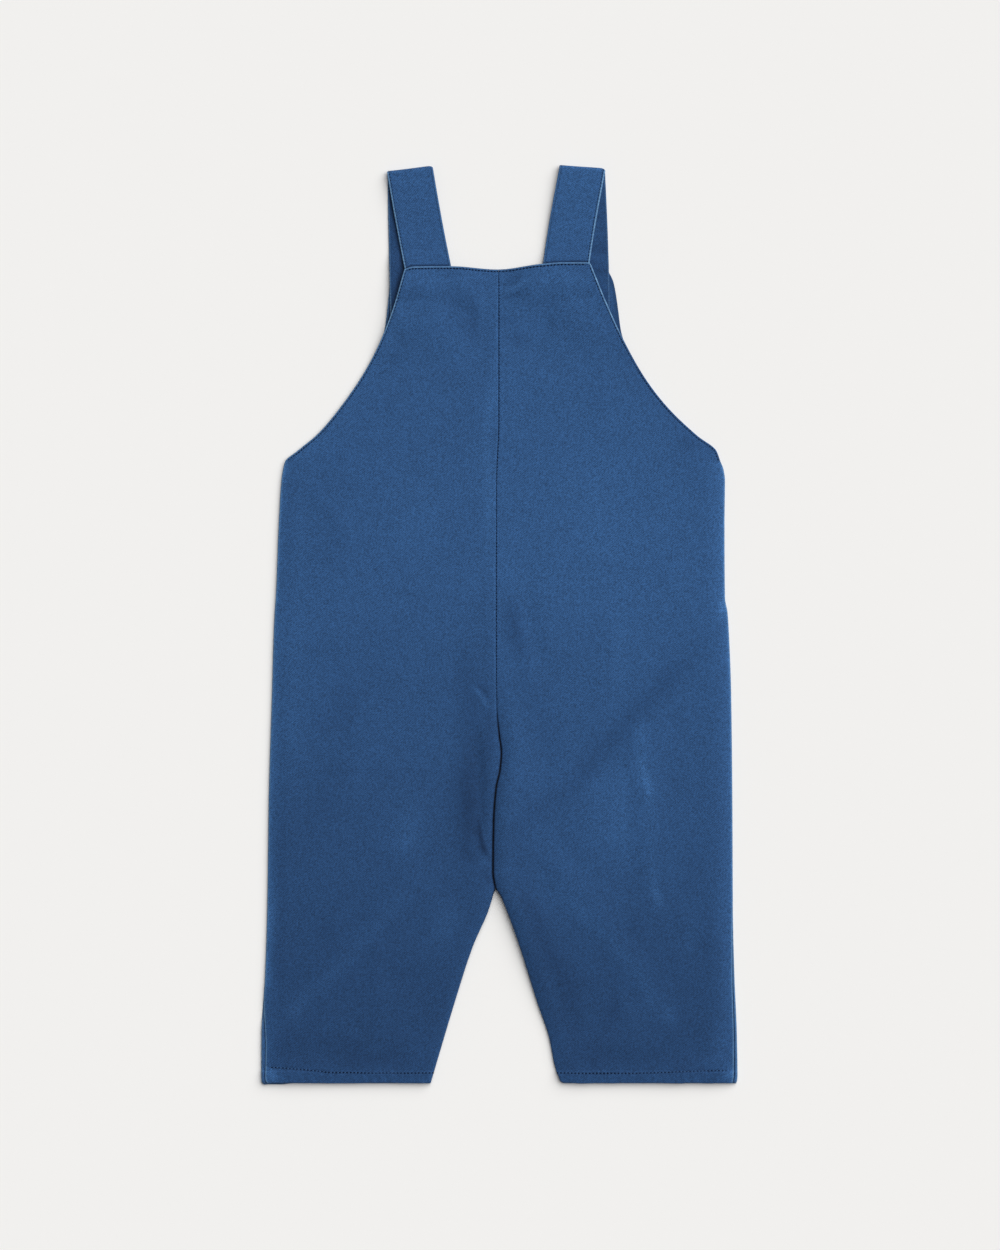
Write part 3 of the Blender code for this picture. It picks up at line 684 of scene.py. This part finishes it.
def backSurface(side, x, up, slants=(1, 1)):
    name = sideName(side)
    upIn = np.clip(up, 0, backTop)
    above = aboveCrotch(upIn)
    fromInner, fromOuter, toInner, toOuter, fromHem, fromTop = fromEdges(
        side, x, up, backTop, backInnerEdge(side, upIn), backOuterEdge(side, upIn), slants)
    low = np.minimum(upIn, garment["bibTopFront"])
    layer = strapSizes["thick"] + garment["layerGap"] + strapSizes["coverSlack"]
    cover = layer * np.maximum(strapCover("front", x, upIn), 2 * strapCover("back", x, upIn))
    height = frontOver(side, x, low) + garment["seamGap"] + cover

    # air under the cloth, with its folds, none at the outer edges
    dip = read(lofts, "dip", upIn) * (1 if side > 0 else 0.55)
    edges = crown(fromOuter, garment["sideReach"])
    edges *= 1 - dip * (1 - crown(fromInner, garment["creaseReach"]))
    ripple = drift(x, up, 21, 11) + 0.6 * drift(x, up, 9.5, 12) + 0.25 * drift(x, up, 5, 13)
    air = read(lofts, "air", upIn) + strokes(backFolds, x, up)
    air = (air + backLook["ripple"] * ripple) * edges
    air = 0.5 * (air + np.sqrt(air * air + 0.01))  # stays above 0
    lift = innerLift("back", side, x, upIn) - innerLift("front", side, x, upIn)
    height += air + lift

    # both halves come down to the seam in the crease
    fall = 1.3 * softStep((upIn - garment["crotch"]) / 8) * fade((upIn - 212) / 30)
    if side > 0:
        gap = read(lifts, "backRight", upIn) - read(lifts, "backLeft", upIn)
        fall += gap * softStep((upIn - 121) / 8)
    height -= fall * (1 - rounded(fromInner, 0.9 if side > 0 else 1.3))

    # side seams and inseams are closed, armholes and hems are open
    sewn = fade(toOuter / 1.5) * fade((upIn - 300) / 20)
    sewn = np.maximum(sewn, fade(toInner / 1.5) * (1 - above))
    height -= 0.25 * sewn

    radius = garment["rimRound"]
    rolled = softStep(read(rolls, name, upIn))
    rim = rounded(toInner, radius) * rounded(toOuter, radius * (1 - 0.6 * rolled))
    rim *= rounded(fromHem, radius * 1.3) * rounded(fromTop, radius)
    line = read(hemLines, "up", x)
    wall = garment["wall"] + hemExtra(up, line)

    # relief of the skin: seam allowances, stitch lines and puckers
    flatSeam = 1 - read(lofts, "dip", upIn)
    if side < 0:
        pucker = 1 + backLook["ridgePucker"] * 2 * puckers(up, fromInner, 6.3, 41)
        ridge = softStep(fromInner) * fade((fromInner - 5) / 5)
        skin = garment["ridgeRise"] * (0.3 + 0.4 * flatSeam) * ridge * pucker
    else:
        nearSeam = bell(fromInner - 1.5, 1.6) * flatSeam
        skin = 0.07 * nearSeam * puckers(up, 0, 6.3, 41)
    atHem = bell(up - line, 0.6)
    inHem = fade((up - line) / 3)
    skin -= backLook["stitchDip"] * 1.3 * atHem
    skin += backLook["hemPucker"] * inHem * puckers(x, up, 6.4, 43 + side)
    armhole = softStep((up - garment["armholeFrom"]) / 4)
    turned = fade((toOuter - 4.2) / 1.6) * armhole
    turned = np.maximum(turned, fade((fromTop - 4.6) / 1.6))
    skin += backLook["turnedIn"] * turned
    skin -= backLook["stitchDip"] * bell(toOuter - backLook["stitchIn"], 0.4) * armhole
    skin += 0.05 * bell(toOuter - 1, 2) * armhole * puckers(up, 0, 4.3, 47)
    skin -= backLook["stitchDip"] * bell(fromTop - backLook["bibStitchIn"], 0.4)
    skin += 0.06 * bell(fromTop - 1.5, 3) * puckers(x, up, 4.6, 49)
    skin *= rim

    # tone of the cloth: its broad change down the garment, painted shade and highlights of folds
    # and creases, some paler worn places, and painted shade along the stitching and in the crease
    tone = read(shadeDown, name, up) + strokes(backPaintedShadeAndWear, x, up)
    # painted shade along the stitch lines of the armholes, the bib's top and the hem, where the
    # stitches sink into the cloth
    beside = toOuter - backLook["stitchIn"]
    stitchGrooveShade = (0.25 if side < 0 else 0.4) * bell(beside, 0.35) * armhole
    stitchGrooveShade += 0.7 * bell(fromTop - backLook["bibStitchIn"], 0.45) + 0.8 * atHem
    tone *= 1 - 0.34 * np.clip(stitchGrooveShade, 0, 1)
    tone *= 1 + 0.06 * softStep((line - up) / 0.8) - 0.08 * bell(fromHem, 1.4)
    brim = 0.42 if side < 0 else 0.34 * (1 - 0.6 * rolled)
    sideEdge = 0.19 * bell(toOuter, 5) + brim * bell(toOuter, 1.6)
    tone *= 1 + sideEdge * (1 - armhole)
    tone *= 1 + (0.08 if side < 0 else -0.17) * bell(toOuter, 8) * armhole
    # painted light along the legs' inner edges, against the shade that falls on the raised edge
    tone *= 1 + 0.14 * bell(toInner, 3.5) * (1 - above)
    # painted shade: a dark line down the crease between the two halves
    inCrease = softStep((upIn - 118) / 5) * fade((upIn - 228) / 18)
    tone *= 1 - 0.88 * inCrease * bell(fromInner, 0.7)
    # painted highlight on the pressed seam ridge of the left half, painted shade beside the seam
    # on the right half
    if side < 0:
        tone *= 1 + 0.12 * bell(fromInner - 1, 0.8) * (1 - inCrease) * above
    else:
        tone *= 1 - 0.05 * bell(fromInner - 0.5, 0.9) * (1 - inCrease) * above

    # worn edges, paler
    fold = fade((toOuter - 0.60) / 0.40)
    onArmhole = read(armholeWear, name, upIn) * armhole * beads(up - 0.4 * x)
    worn = fold * (0.35 * (1 - armhole) + onArmhole)
    worn += (0.35 if side < 0 else 0.05) * bell(toOuter, 0.5) * rolled
    onStrap = softStep((np.abs(x + 1.5) - 22) / 6)
    worn += (0.16 + 0.26 * onStrap) * fade((fromTop - 0.70) / 0.35)
    # darker along the top edge of the bib between the straps
    tone *= 1 - 0.25 * bell(fromTop, 0.6) * (1 - onStrap)
    worn += 0.06 * bell(fromHem, 0.6) + 0.10 * bell(toInner, 0.4) * (1 - above)
    return {"middle": height + wall / 2, "thick": wall * rim, "skin": skin, "groove": 0,
            "tone": tone, "worn": np.clip(worn, 0, 1)}


def hemCorner(side, x, up):  # the inner corner of the right hem is rounded
    beside = np.clip((x - innerEdge(side, up)) / 3.6, 0, 1)
    return (1.3 if side > 0 else 0) * (1 - beside) ** 2 * fade(up / 9)


def backPlace(side, x, up, z):
    shaped = bibHeight(x, up)
    shaped += (0.3 + hemWave(side, x)) * fade(up / 10)
    return place(x, shaped + hemCorner(side, x, up), z)


def onBack(side, x, up, above=0):  # a point on the outside of the back
    surface = backSurface(side, x, up)
    z = surface["middle"] + surface["thick"] / 2 + surface["skin"] + above
    return backPlace(side, x, up, z)


def makePanel(layer, side, look, top, hemRows, innerAt, outerAt, surfaceAt, placeAt):
    ups = spread(top + 2 * garment["rim"], look["rowSpacing"], hemRows) - garment["rim"]
    held = np.clip(ups, 0, top)
    inner, outer = innerAt(side, held), outerAt(side, held)
    distance = columnsBetween((outer - inner) * side, look["columnSpacing"], garment["widest"])
    x = inner[:, None] + side * distance
    up = np.broadcast_to(ups[:, None], x.shape)
    slants = (slant(inner, ups)[:, None], slant(outer, ups)[:, None])
    surface = surfaceAt(side, x, up, slants)
    half = surface["thick"] / 2
    over = placeAt(side, x, up, surface["middle"] + half + surface["skin"])
    under = placeAt(side, x, up, surface["middle"] - half + surface["groove"])
    flat = np.stack([x, up, np.zeros_like(x)], axis=-1)
    return clothPiece(pieceName(layer, side), over, under, flat, surface["tone"], surface["worn"])


def makeBack(side):
    piece = makePanel("back", side, backLook, backTop, np.arange(5.2, 12, 0.5), backInnerEdge,
                      backOuterEdge, backSurface, backPlace)
    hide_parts("back_" + sideName(side))
    return piece


backs = {side: makeBack(side) for side in (-1, 1)}
print("back ready")


# The front, on the ground, seen past the edges of the back

frontLook = {
    "rowSpacing": 2.4,
    "columnSpacing": 2.6,
    "edgeWear": 0.6,
    "grooveDepth": 0.45,  # the topstitching lies in it, clear of the ground
}


def armholeShade(side, x, up):  # the shade in the gap beside the left armhole
    beside = (backOuterEdge(side, up) - x) * side
    high = softStep((up - 470) / 20) * fade((up - 534) / 4)
    return (0.60 if side < 0 else 0.15) * bell(np.minimum(beside, 0), 2.4) * high


def frontInnerEdge(side, up):  # its seam lies a little beside the back's
    return backInnerEdge(side, up) + 0.8 * aboveCrotch(up)


def frontSurface(side, x, up, slants=(1, 1)):
    name = sideName(side)
    top = garment["bibTopFront"]
    upIn = np.clip(up, 0, top)
    _, _, toInner, toOuter, fromHem, fromTop = fromEdges(
        side, x, up, top, frontInnerEdge(side, upIn), frontOuterEdge(side, upIn), slants)
    wall = garment["wall"] + hemExtra(up)
    roll = read(rolls, name, upIn)
    lip = (garment["seamGap"] + wall) * softStep(roll - 1)
    lip *= fade((toOuter - roll + 0.45) / 0.4)
    radius = garment["rimRound"] + lip * 0.5
    rim = rounded(toInner, garment["rimRound"]) * rounded(toOuter, radius)
    rim *= rounded(fromHem, radius) * rounded(fromTop, garment["rimRound"])
    low = frontUnder(side, x, upIn)
    # painted shade on the front's hem where it shows below the back's
    tone = read(shadeDown, name, up) * (1 - 0.45 * fade((up - 0.5) / 1.5))
    onBib = softStep((up - 455) / 10)
    # painted light on the front's lip where it rolls round the sides, against the shade of the
    # groove beside the back's edge; the front bib is a little darker
    shine = 1 + (0.30 if side < 0 else 0.60) * np.minimum(lip, 1)
    tone *= (1 - 0.16 * onBib) * shine
    tone *= 1 - armholeShade(side, x, up)
    worn = bell(toOuter, 0.9) * 0.8 + 0.6 * bell(fromTop, 0.6) + 0.5 * bell(fromHem, 0.6)
    if side > 0:  # the edge of this corner is dark
        tone *= 1 - 0.40 * bell(toOuter, 2.4) * onBib
        worn *= 1 - 0.9 * onBib

    # grooves of the topstitching, under the front
    beside = (frontOuterEdge(side, up) - x) * side
    lines = bell(beside - backLook["stitchIn"], 0.5) * softStep((up - garment["armholeFrom"]) / 4)
    lines += bell(top - up - backLook["bibStitchIn"], 0.5)
    groove = np.minimum(lines + bell(up - garment["hemDepth"], 0.6), 1)
    return {"middle": low + (wall + lip) / 2, "thick": (wall + lip) * rim, "skin": 0,
            "groove": frontLook["grooveDepth"] * groove, "tone": tone,
            "worn": np.clip(worn * frontLook["edgeWear"], 0, 1)}


def frontPlace(side, x, up, z):
    peek = garment["hemBelow"] * fade(up / garment["hemDepth"]) if side < 0 else 0
    return place(x, up - peek * softStep((-x - 134) / 8) + hemCorner(side, x, up), z)


def makeFront(side):
    piece = makePanel("front", side, frontLook, garment["bibTopFront"], np.arange(5.6, 10.4, 0.6),
                      frontInnerEdge, frontOuterEdge, frontSurface, frontPlace)
    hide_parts("front_" + sideName(side))
    return piece


fronts = {side: makeFront(side) for side in (-1, 1)}
print("front ready")


# Shoulder straps of doubled cloth, each folded over at the shoulder

strapLook = {
    "rowSpacing": 0.5,
    "foldRows": 18,
    "columnSpacing": 1.1,
    "pucker": 0.16,
    "stitchIn": 1.45,
}


def strapMiddle(strap, across, width):
    thick = strapSizes["thick"]
    lowZ = thick / 2
    highZ = thick * 1.5 + strapSizes["foldAir"]
    turn = (highZ - lowZ) / 2
    axisUp = strap["foldUp"] - turn - thick / 2
    tuck, end = strapSizes["tuck"], strapSizes["end"]
    offset = across[None, :]

    ups = np.linspace(tuck, axisUp, int((axisUp - tuck) / strapLook["rowSpacing"]))[:, None]
    share = (ups - tuck) / (axisUp - tuck)
    turned = strap["backTilt"] + (strap["foldTilt"] - strap["backTilt"]) * softStep(share)
    tilt = np.radians(turned)
    bow = strap["backBow"] * np.sin(pi * share)
    x = strapLine(strap, "back", ups) + bow + offset * np.cos(tilt)
    up = ups + offset * np.sin(tilt)
    back = np.stack([x, up, strapBackUnder(strap["side"], x, up, axisUp) + thick / 2], axis=-1)

    tilt = radians(strap["foldTilt"])
    angle = pi * np.arange(1, strapLook["foldRows"])[:, None] / strapLook["foldRows"]
    corners = 0.72 * bell(width / 2 - offset, 1.3) + 0.12 * bell(width / 2 + offset, 1)
    out = turn * np.sin(angle) * (1 - corners)
    centre = strapLine(strap, "back", axisUp)
    x = centre + offset * cos(tilt) - out * sin(tilt)
    up = axisUp + offset * sin(tilt) + out * cos(tilt)
    fold = np.stack([x, up, (highZ + lowZ) / 2 + turn * np.cos(angle) + 0 * offset], axis=-1)

    ups = np.linspace(axisUp, end, int((axisUp - end) / strapLook["rowSpacing"]))[:, None]
    share = (axisUp - ups) / (axisUp - end)
    turned = strap["foldTilt"] + (strap["endTilt"] - strap["foldTilt"]) * softStep(share * 2)
    tilt = np.radians(turned)
    centre = strapLine(strap, "back", axisUp) * (1 - share) + strap["endX"] * share
    x = centre + strap["frontBow"] * np.sin(pi * share) + offset * np.cos(tilt)
    up = ups + offset * np.sin(tilt)
    front = np.stack([x, up, strapFrontUnder(strap["side"], x, up) + thick / 2], axis=-1)
    return np.concatenate([back, fold, front])


def strapTones(strap, middle, along, fromEdge, onFront):
    # over the strap, and under it, where the front stretch has its outside
    side = strap["side"]
    x, up = middle[..., 0], middle[..., 1]
    dyedAndShaded = read(shadeDown, sideName(side), up)
    # painted shade on the front stretch, which lies under the back stretch
    shaded = 0.64 * dyedAndShaded * (1 - armholeShade(side, x, up))
    if side > 0:
        # painted shadow bands across the front stretch, and a painted lighter band above them
        crossShadows = bell(up - 542, 2) + bell(up - 527.5, 2) + 0.8 * bell(up - 512.5, 3)
        shaded *= 1 - 0.16 * crossShadows + 0.10 * bell(up - 553.5, 4)
    else:
        # painted shadow of the back stretch on the front stretch beside its outer edge
        beside = strapLine(strap, "back", up) - strapSizes["width"] / 2 - x
        wedgeShadow = bell(np.maximum(beside - 0.6, 0), 1.5) * softStep((592 - up) / 12)
        shaded *= 1 - 0.66 * wedgeShadow * softStep((up - 526) / 6)
    # painted shade on the strap just above the bib's top edge, and a softer painted shade further
    # up
    bibEdge = bibHeight(x, backTop) + garment["rim"]
    onBackStretch = fade((along - 60) / 10)
    lit = dyedAndShaded * (1 - 0.68 * bell(up - bibEdge - 0.55, 0.75) * onBackStretch)
    lit *= 1 - 0.08 * bell(up - bibEdge - 4, 8) * onBackStretch
    # painted shade along the stitch lines
    lines = 1 - 0.12 * bell(fromEdge - strapLook["stitchIn"], 0.4)
    plain = garment["plainTone"]
    return (lit + (plain - lit) * onFront) * lines, (plain + (shaded - plain) * onFront) * lines


def makeStrap(strap):
    width = strapSizes["width"]
    across = columnsBetween(np.array([width]), strapLook["columnSpacing"], width)[0] - width / 2
    middle = strapMiddle(strap, across, width)
    alongStep = np.gradient(middle, axis=0)
    normals = np.cross(np.gradient(middle, axis=1), alongStep)
    normals /= np.linalg.norm(normals, axis=2, keepdims=True)
    centreRow = middle[:, len(across) // 2]
    travel = np.concatenate([[0], np.cumsum(np.linalg.norm(np.diff(centreRow, axis=0), axis=1))])
    along = np.broadcast_to(travel[:, None], middle.shape[:2])
    offset = np.broadcast_to(across[None, :], middle.shape[:2])
    side = strap["side"]
    fromEdge = width / 2 - np.abs(offset)
    fromEnd = np.minimum(along, travel[-1] - along)
    radius = 0.7
    rim = rounded(fromEdge, radius) * rounded(fromEnd, radius)
    thick = strapSizes["thick"] * rim
    crosswise = puckers(along, 0.4 * offset, 7.5, 61 + side) + 0.7 * drift(offset, along, 8, 65)
    relief = strapLook["pucker"] * 0.5 * crosswise * (0.4 + 0.6 * softStep(fromEdge / 6))
    relief -= 0.15 * bell(fromEdge - strapLook["stitchIn"], 0.4)
    relief *= rim
    over = middle + normals * (thick / 2 + relief)[..., None]
    under = middle - normals * (thick / 2 + 0.4 * relief)[..., None]
    points = [place(grid[..., 0], grid[..., 1], grid[..., 2]) for grid in (over, under)]
    onFront = softStep((along - strapSizes["frontFrom"]) / 4)
    outside = np.where(offset * side > 0, 1, 0.20)
    outside *= 1 - (0.6 if side < 0 else 0.8) * onFront
    fold = fade((fromEdge - 0.70) / 0.45)
    worn = np.clip(fold * outside * beads(along), 0, 1)
    tones = strapTones(strap, middle, along, fromEdge, onFront)
    cut = np.stack([offset + 200 * side, along, np.zeros_like(along)], axis=-1)
    piece = clothPiece(pieceName("strap", side), *points, cut, tones[0], worn, tones[1])
    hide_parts("strap_" + sideName(side))
    return piece, {"over": over, "across": across, "travel": travel, "normals": normals}


strapPieces = {}
strapGrids = {}
for strap in straps:
    strapPieces[strap["side"]], strapGrids[strap["side"]] = makeStrap(strap)
print("straps ready")


# Topstitching: one small arched thread for each stitch, with a dark disc of painted shade for the
# needle hole between two

stitchLook = {
    "hemPitch": 2.34,
    "edgePitch": 2.08,
    "bibPitch": {-1: 2.06, 1: 2.28},
    "seamPitch": 2.15,
    "threadWidth": 0.42,
    "lift": 0.12,  # of the thread's middle, over the cloth
    "share": 0.50,  # of the pitch that a stitch shows
    "hemHole": (1.20, 1.10),  # length and width of a needle hole and the shade round it
    "bibHole": (1.25, 1.60),
    "armholeHole": (0.95, 0.85),
    "strapHole": (0.80, 0.65),
    "seamHole": (0.95, 0.80),
}


def addTube(points, faces, spots, ups, sizes):
    # a thread through the spots, six corners round, a little flattened
    start = len(points)
    forward = np.gradient(np.array(spots), axis=0)
    for spot, ahead, up, size in zip(spots, forward, ups, sizes):
        sideways = np.cross(ahead / max(np.linalg.norm(ahead), 1e-6), up)
        for k in range(6):
            angle = 2 * pi * k / 6
            points.append(spot + up * (size * sin(angle)) + sideways * (size * 1.15 * cos(angle)))
    last = start + (len(spots) - 1) * 6
    for ring in range(start, last, 6):
        for k in range(6):
            a, b = ring + k, ring + (k + 1) % 6
            faces.append((a, b, b + 6, a + 6))
    faces.append(tuple(start + k for k in reversed(range(6))))
    faces.append(tuple(last + k for k in range(6)))


def stitchRow(line, normals, pitch, hole, thread=0):
    # line and normals are dense points in millimetres, in the frame's directions
    steps = np.linalg.norm(np.diff(line, axis=0), axis=1)
    travel = np.concatenate([[0], np.cumsum(steps)])
    count = int(travel[-1] / pitch)
    points, faces, slots = [], [], []

    def at(distance):
        spot = np.array([np.interp(distance, travel, line[:, k]) for k in range(3)])
        up = np.array([np.interp(distance, travel, normals[:, k]) for k in range(3)])
        return spot, up / np.linalg.norm(up)

    profile = [(-0.5, 0.30, -0.55), (-0.40, 0.85, 0.15), (0, 1, 0.45), (0.40, 0.85, 0.15),
               (0.5, 0.30, -0.55)]
    radius = stitchLook["threadWidth"] / 2
    for i in range(count):
        middle = (i + 0.5) * pitch
        long = pitch * stitchLook["share"]
        spots, ups, sizes = [], [], []
        for share, swell, rise in profile:
            spot, up = at(middle + share * long)
            spots.append(spot + up * (radius * rise))
            ups.append(up)
            sizes.append(radius * swell)
        addTube(points, faces, spots, ups, sizes)
        slots.extend([thread] * (len(faces) - len(slots)))
        # a dark disc of painted shade where the needle goes in
        spot, up = at(i * pitch)
        forward = at(i * pitch + 0.2)[0] - at(i * pitch - 0.2)[0]
        forward /= max(np.linalg.norm(forward), 1e-6)
        sideways = np.cross(forward, up)
        start = len(points)
        uneven = 0.5 + 0.15 * float(drift(spot[0], spot[1], 10, 81))
        for k in range(8):
            angle = 2 * pi * k / 8
            points.append(spot + forward * (hole[0] * uneven * cos(angle))
                          + sideways * (hole[1] * uneven * sin(angle)))
        points += [spot + up * 0.05, spot - up * 0.10]
        for k in range(8):
            a, b = start + k, start + (k + 1) % 8
            faces.append((a, b, start + 8))
            faces.append((b, a, start + 9))
            slots.extend([2, 2])
    return points, faces, slots


def stitchPiece(name, rows):
    points, faces, slots = [], [], []
    for row in rows:
        more, moreFaces, moreSlots = stitchRow(*row)
        faces.extend(tuple(index + len(points) for index in face) for face in moreFaces)
        points.extend(more)
        slots.extend(moreSlots)
    scaled = (np.array(points) * mm).tolist()
    materials = [threadMaterial, paleThreadMaterial, holeShadeMaterial]
    piece = newPiece(name, scaled, faces, materials, slots)
    return piece


def lineOnBack(side, x, up):
    line = onBack(side, x, up, stitchLook["lift"]) / mm
    step = 0.4
    east = (onBack(side, x + step, up) - onBack(side, x - step, up)) / mm
    north = (onBack(side, x, up + step) - onBack(side, x, up - step)) / mm
    normals = np.cross(east, north)
    normals /= np.linalg.norm(normals, axis=1, keepdims=True)
    return line, normals


def armholeLine(side, edgeAt, top, count):
    up = np.linspace(garment["armholeFrom"] + 3.5, top, count)
    edge = edgeAt(side, up)
    return edge - side * backLook["stitchIn"] / slant(edge, up), up


def backStitches(side):
    rows = []
    hem = np.array(garment["hemDepth"])
    start, end = float(innerEdge(side, hem)), float(backOuterEdge(side, hem))
    x = np.linspace(start + side * 0.8, end - side * 0.6, 400)
    up = read(hemLines, "up", x) + 0.25 * drift(x, 0, 14, 71)
    rows.append((*lineOnBack(side, x, up), stitchLook["hemPitch"], stitchLook["hemHole"], 1))
    x, up = armholeLine(side, backOuterEdge, backTop + garment["rim"] - backLook["stitchIn"], 600)
    rows.append((*lineOnBack(side, x, up), stitchLook["edgePitch"], stitchLook["armholeHole"]))
    x = np.linspace(-0.5 + side * 0.6, x[-1], 300)
    up = np.full_like(x, backTop + garment["rim"] - backLook["bibStitchIn"])
    rows.append((*lineOnBack(side, x, up), stitchLook["bibPitch"][side], stitchLook["bibHole"]))
    if side > 0:
        up = np.linspace(250, 528, 900)
        x = innerEdge(side, up) + 0.35
        rows.append((*lineOnBack(side, x, up), stitchLook["seamPitch"], stitchLook["seamHole"]))
    return stitchPiece(pieceName("back", side) + "Stitches", rows)


def strapStitches(side):
    grid = strapGrids[side]
    rows = []
    for edge in (-1, 1):
        offset = edge * (strapSizes["width"] / 2 - strapLook["stitchIn"])
        column = int(np.argmin(np.abs(grid["across"] - offset)))
        picked = slice(2, -2)
        line = grid["over"][picked, column] + grid["normals"][picked, column] * stitchLook["lift"]
        line -= np.array([0, middleUp, 0])
        hole = np.array(stitchLook["strapHole"]) * (1 if edge == side else 0.5)
        rows.append((line, grid["normals"][picked, column], stitchLook["edgePitch"], hole))
    return stitchPiece(pieceName("strap", side) + "Stitches", rows)


def frontStitches(side):
    rows = []
    top = garment["bibTopFront"]

    def lineUnder(x, up):
        z = frontUnder(side, x, up) + frontLook["grooveDepth"] - 0.11
        normals = np.tile([0, 0, -1], (len(x), 1))
        return frontPlace(side, x, up, z) / mm, normals

    hemLine = np.full(300, garment["hemDepth"])
    start, end = frontInnerEdge(side, hemLine)[0], frontOuterEdge(side, hemLine)[0]
    x = np.linspace(start + side * 0.8, end - side * 0.8, 300)
    rows.append((*lineUnder(x, hemLine), stitchLook["hemPitch"], stitchLook["strapHole"]))
    x, up = armholeLine(side, frontOuterEdge, top - backLook["bibStitchIn"], 500)
    rows.append((*lineUnder(x, up), stitchLook["edgePitch"], stitchLook["strapHole"]))
    x = np.linspace(0.8 + side * 0.8, x[-1], 300)
    up = np.full_like(x, top - backLook["bibStitchIn"])
    rows.append((*lineUnder(x, up), stitchLook["edgePitch"], stitchLook["strapHole"]))
    return stitchPiece(pieceName("front", side) + "Stitches", rows)


backThreads = {side: backStitches(side) for side in (-1, 1)}
frontThreads = {side: frontStitches(side) for side in (-1, 1)}
strapThreads = {side: strapStitches(side) for side in (-1, 1)}
print("stitches ready")


# Buttons of the front bib, face down under it

buttonProfile = [(4.2, 0.55), (4.7, 0.45), (5.1, 0.12), (5.6, 0), (6.3, 0), (6.8, 0.2),
                 (7, 0.6), (7, 1.1), (6.8, 1.5), (6.4, 1.7)]


def makeButton(side):
    builder = bmesh.new()

    def addRing(x, y, radius, height, count):
        corners = [(x + radius * cos(2 * pi * i / count), y + radius * sin(2 * pi * i / count))
                   for i in range(count)]
        return [builder.verts.new((*corner, height)) for corner in corners]

    def joinRings(lower, upper):
        for i in range(len(lower)):
            j = (i + 1) % len(lower)
            builder.faces.new((lower[i], lower[j], upper[j], upper[i]))

    rings = [addRing(0, 0, radius, height, 64) for radius, height in buttonProfile]
    for lower, upper in zip(rings, rings[1:]):
        joinRings(lower, upper)
    borders = [[rings[0]], [rings[-1]]]
    for x in (-buttonSizes["holePlace"], buttonSizes["holePlace"]):
        for y in (-buttonSizes["holePlace"], buttonSizes["holePlace"]):
            hole = [addRing(x, y, buttonSizes["holeRadius"], height, 20)
                    for height in (buttonProfile[0][1], buttonProfile[-1][1])]
            joinRings(*hole)
            borders[0].append(hole[0])
            borders[1].append(hole[1])
    for border in borders:  # the two faces, round their holes
        edges = [builder.edges.get((ring[i - 1], ring[i])) for ring in border
                 for i in range(len(ring))]
        bmesh.ops.triangle_fill(builder, use_beauty=True, edges=edges)
    bmesh.ops.recalc_face_normals(builder, faces=builder.faces)
    builder.verts.index_update()
    centre = place(buttonSizes["places"][side], buttonSizes["up"], 0)
    points = [(np.array(vert.co) * mm + centre).tolist() for vert in builder.verts]
    faces = [tuple(vert.index for vert in face.verts) for face in builder.faces]
    builder.free()
    piece = newPiece(pieceName("button", side), points, faces, [plasticMaterial])
    piece.data.set_sharp_from_angle(angle=radians(40))
    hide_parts("button_" + sideName(side))
    return piece


def makeButtonThread(side):  # two bars of thread through the four holes
    centre = place(buttonSizes["places"][side], buttonSizes["up"], 0)
    reach = buttonSizes["holePlace"]
    points, faces = [], []
    for y in (-reach, reach):
        for strand in (-0.34, 0, 0.34):
            path = [(-reach, 2.3), (-reach, 0.75), (-reach + 0.25, 0.36), (0, 0.30),
                    (reach - 0.25, 0.36), (reach, 0.75), (reach, 2.3)]
            spots = [np.array([x, y + strand, z]) for x, z in path]
            addTube(points, faces, spots, [np.array([0, 1, 0])] * len(path), [0.2] * len(path))
    scaled = (np.array(points) * mm + centre).tolist()
    piece = newPiece(pieceName("button", side) + "Thread", scaled, faces, [threadMaterial])
    return piece


buttons = {side: makeButton(side) for side in (-1, 1)}
buttonThreads = {side: makeButtonThread(side) for side in (-1, 1)}
print("buttons ready")


# A name for each side's button, which nothing uses

for side in (-1, 1):
    name = sideName(side)
    "button_" + name


# Floor, light and camera

stage = {
    "floorColour": (0.905, 0.896, 0.880, 1),
    "sunStrength": 3.39,
    "sunSpread": 75,  # degrees across: a large soft light close by
    "sunHeight": 50,
    "sunTurn": 45,  # from the right towards the shoulders
    "skyStrength": 0.146,
    "cameraHeight": 3,
    "viewHeight": 0.8125,  # what the picture's height covers
    "viewCentre": (0.0004, -0.0001),
    "viewPlane": 0.003,  # about the height of the cloth
}

floorMesh = bpy.data.meshes.new("floor")
reach = 6
floorMesh.from_pydata([(-reach, -reach, 0), (reach, -reach, 0), (reach, reach, 0),
                       (-reach, reach, 0)], [], [(0, 1, 2, 3)])
floor = addObject("floor", floorMesh)
floorFinish = Finish("paleFloor", {"Base Color": stage["floorColour"], "Roughness": 0.9,
                                   "Specular IOR Level": 0.1})
floorMesh.materials.append(floorFinish.material)

sunLight = bpy.data.lights.new("sun", "SUN")
sunLight.energy = stage["sunStrength"]
sunLight.angle = radians(stage["sunSpread"])
sun = addObject("sun", sunLight)
sun.rotation_euler = (0, radians(90 - stage["sunHeight"]), radians(stage["sunTurn"]))

world = bpy.data.worlds.new("sky")
world.use_nodes = True
world.node_tree.nodes["Background"].inputs["Color"].default_value = (1, 1, 1, 1)
world.node_tree.nodes["Background"].inputs["Strength"].default_value = stage["skyStrength"]
bpy.context.scene.world = world
bpy.context.scene.view_settings.view_transform = "Standard"
bpy.context.scene.cycles.denoising_prefilter = "NONE"  # the weave stays crisp

cameraData = bpy.data.cameras.new("camera")
distance = stage["cameraHeight"] - stage["viewPlane"]
cameraData.lens = cameraData.sensor_width * distance / stage["viewHeight"]
camera = addObject("camera", cameraData)
camera.location = (*stage["viewCentre"], stage["cameraHeight"])
bpy.context.scene.camera = camera
print("stage ready")
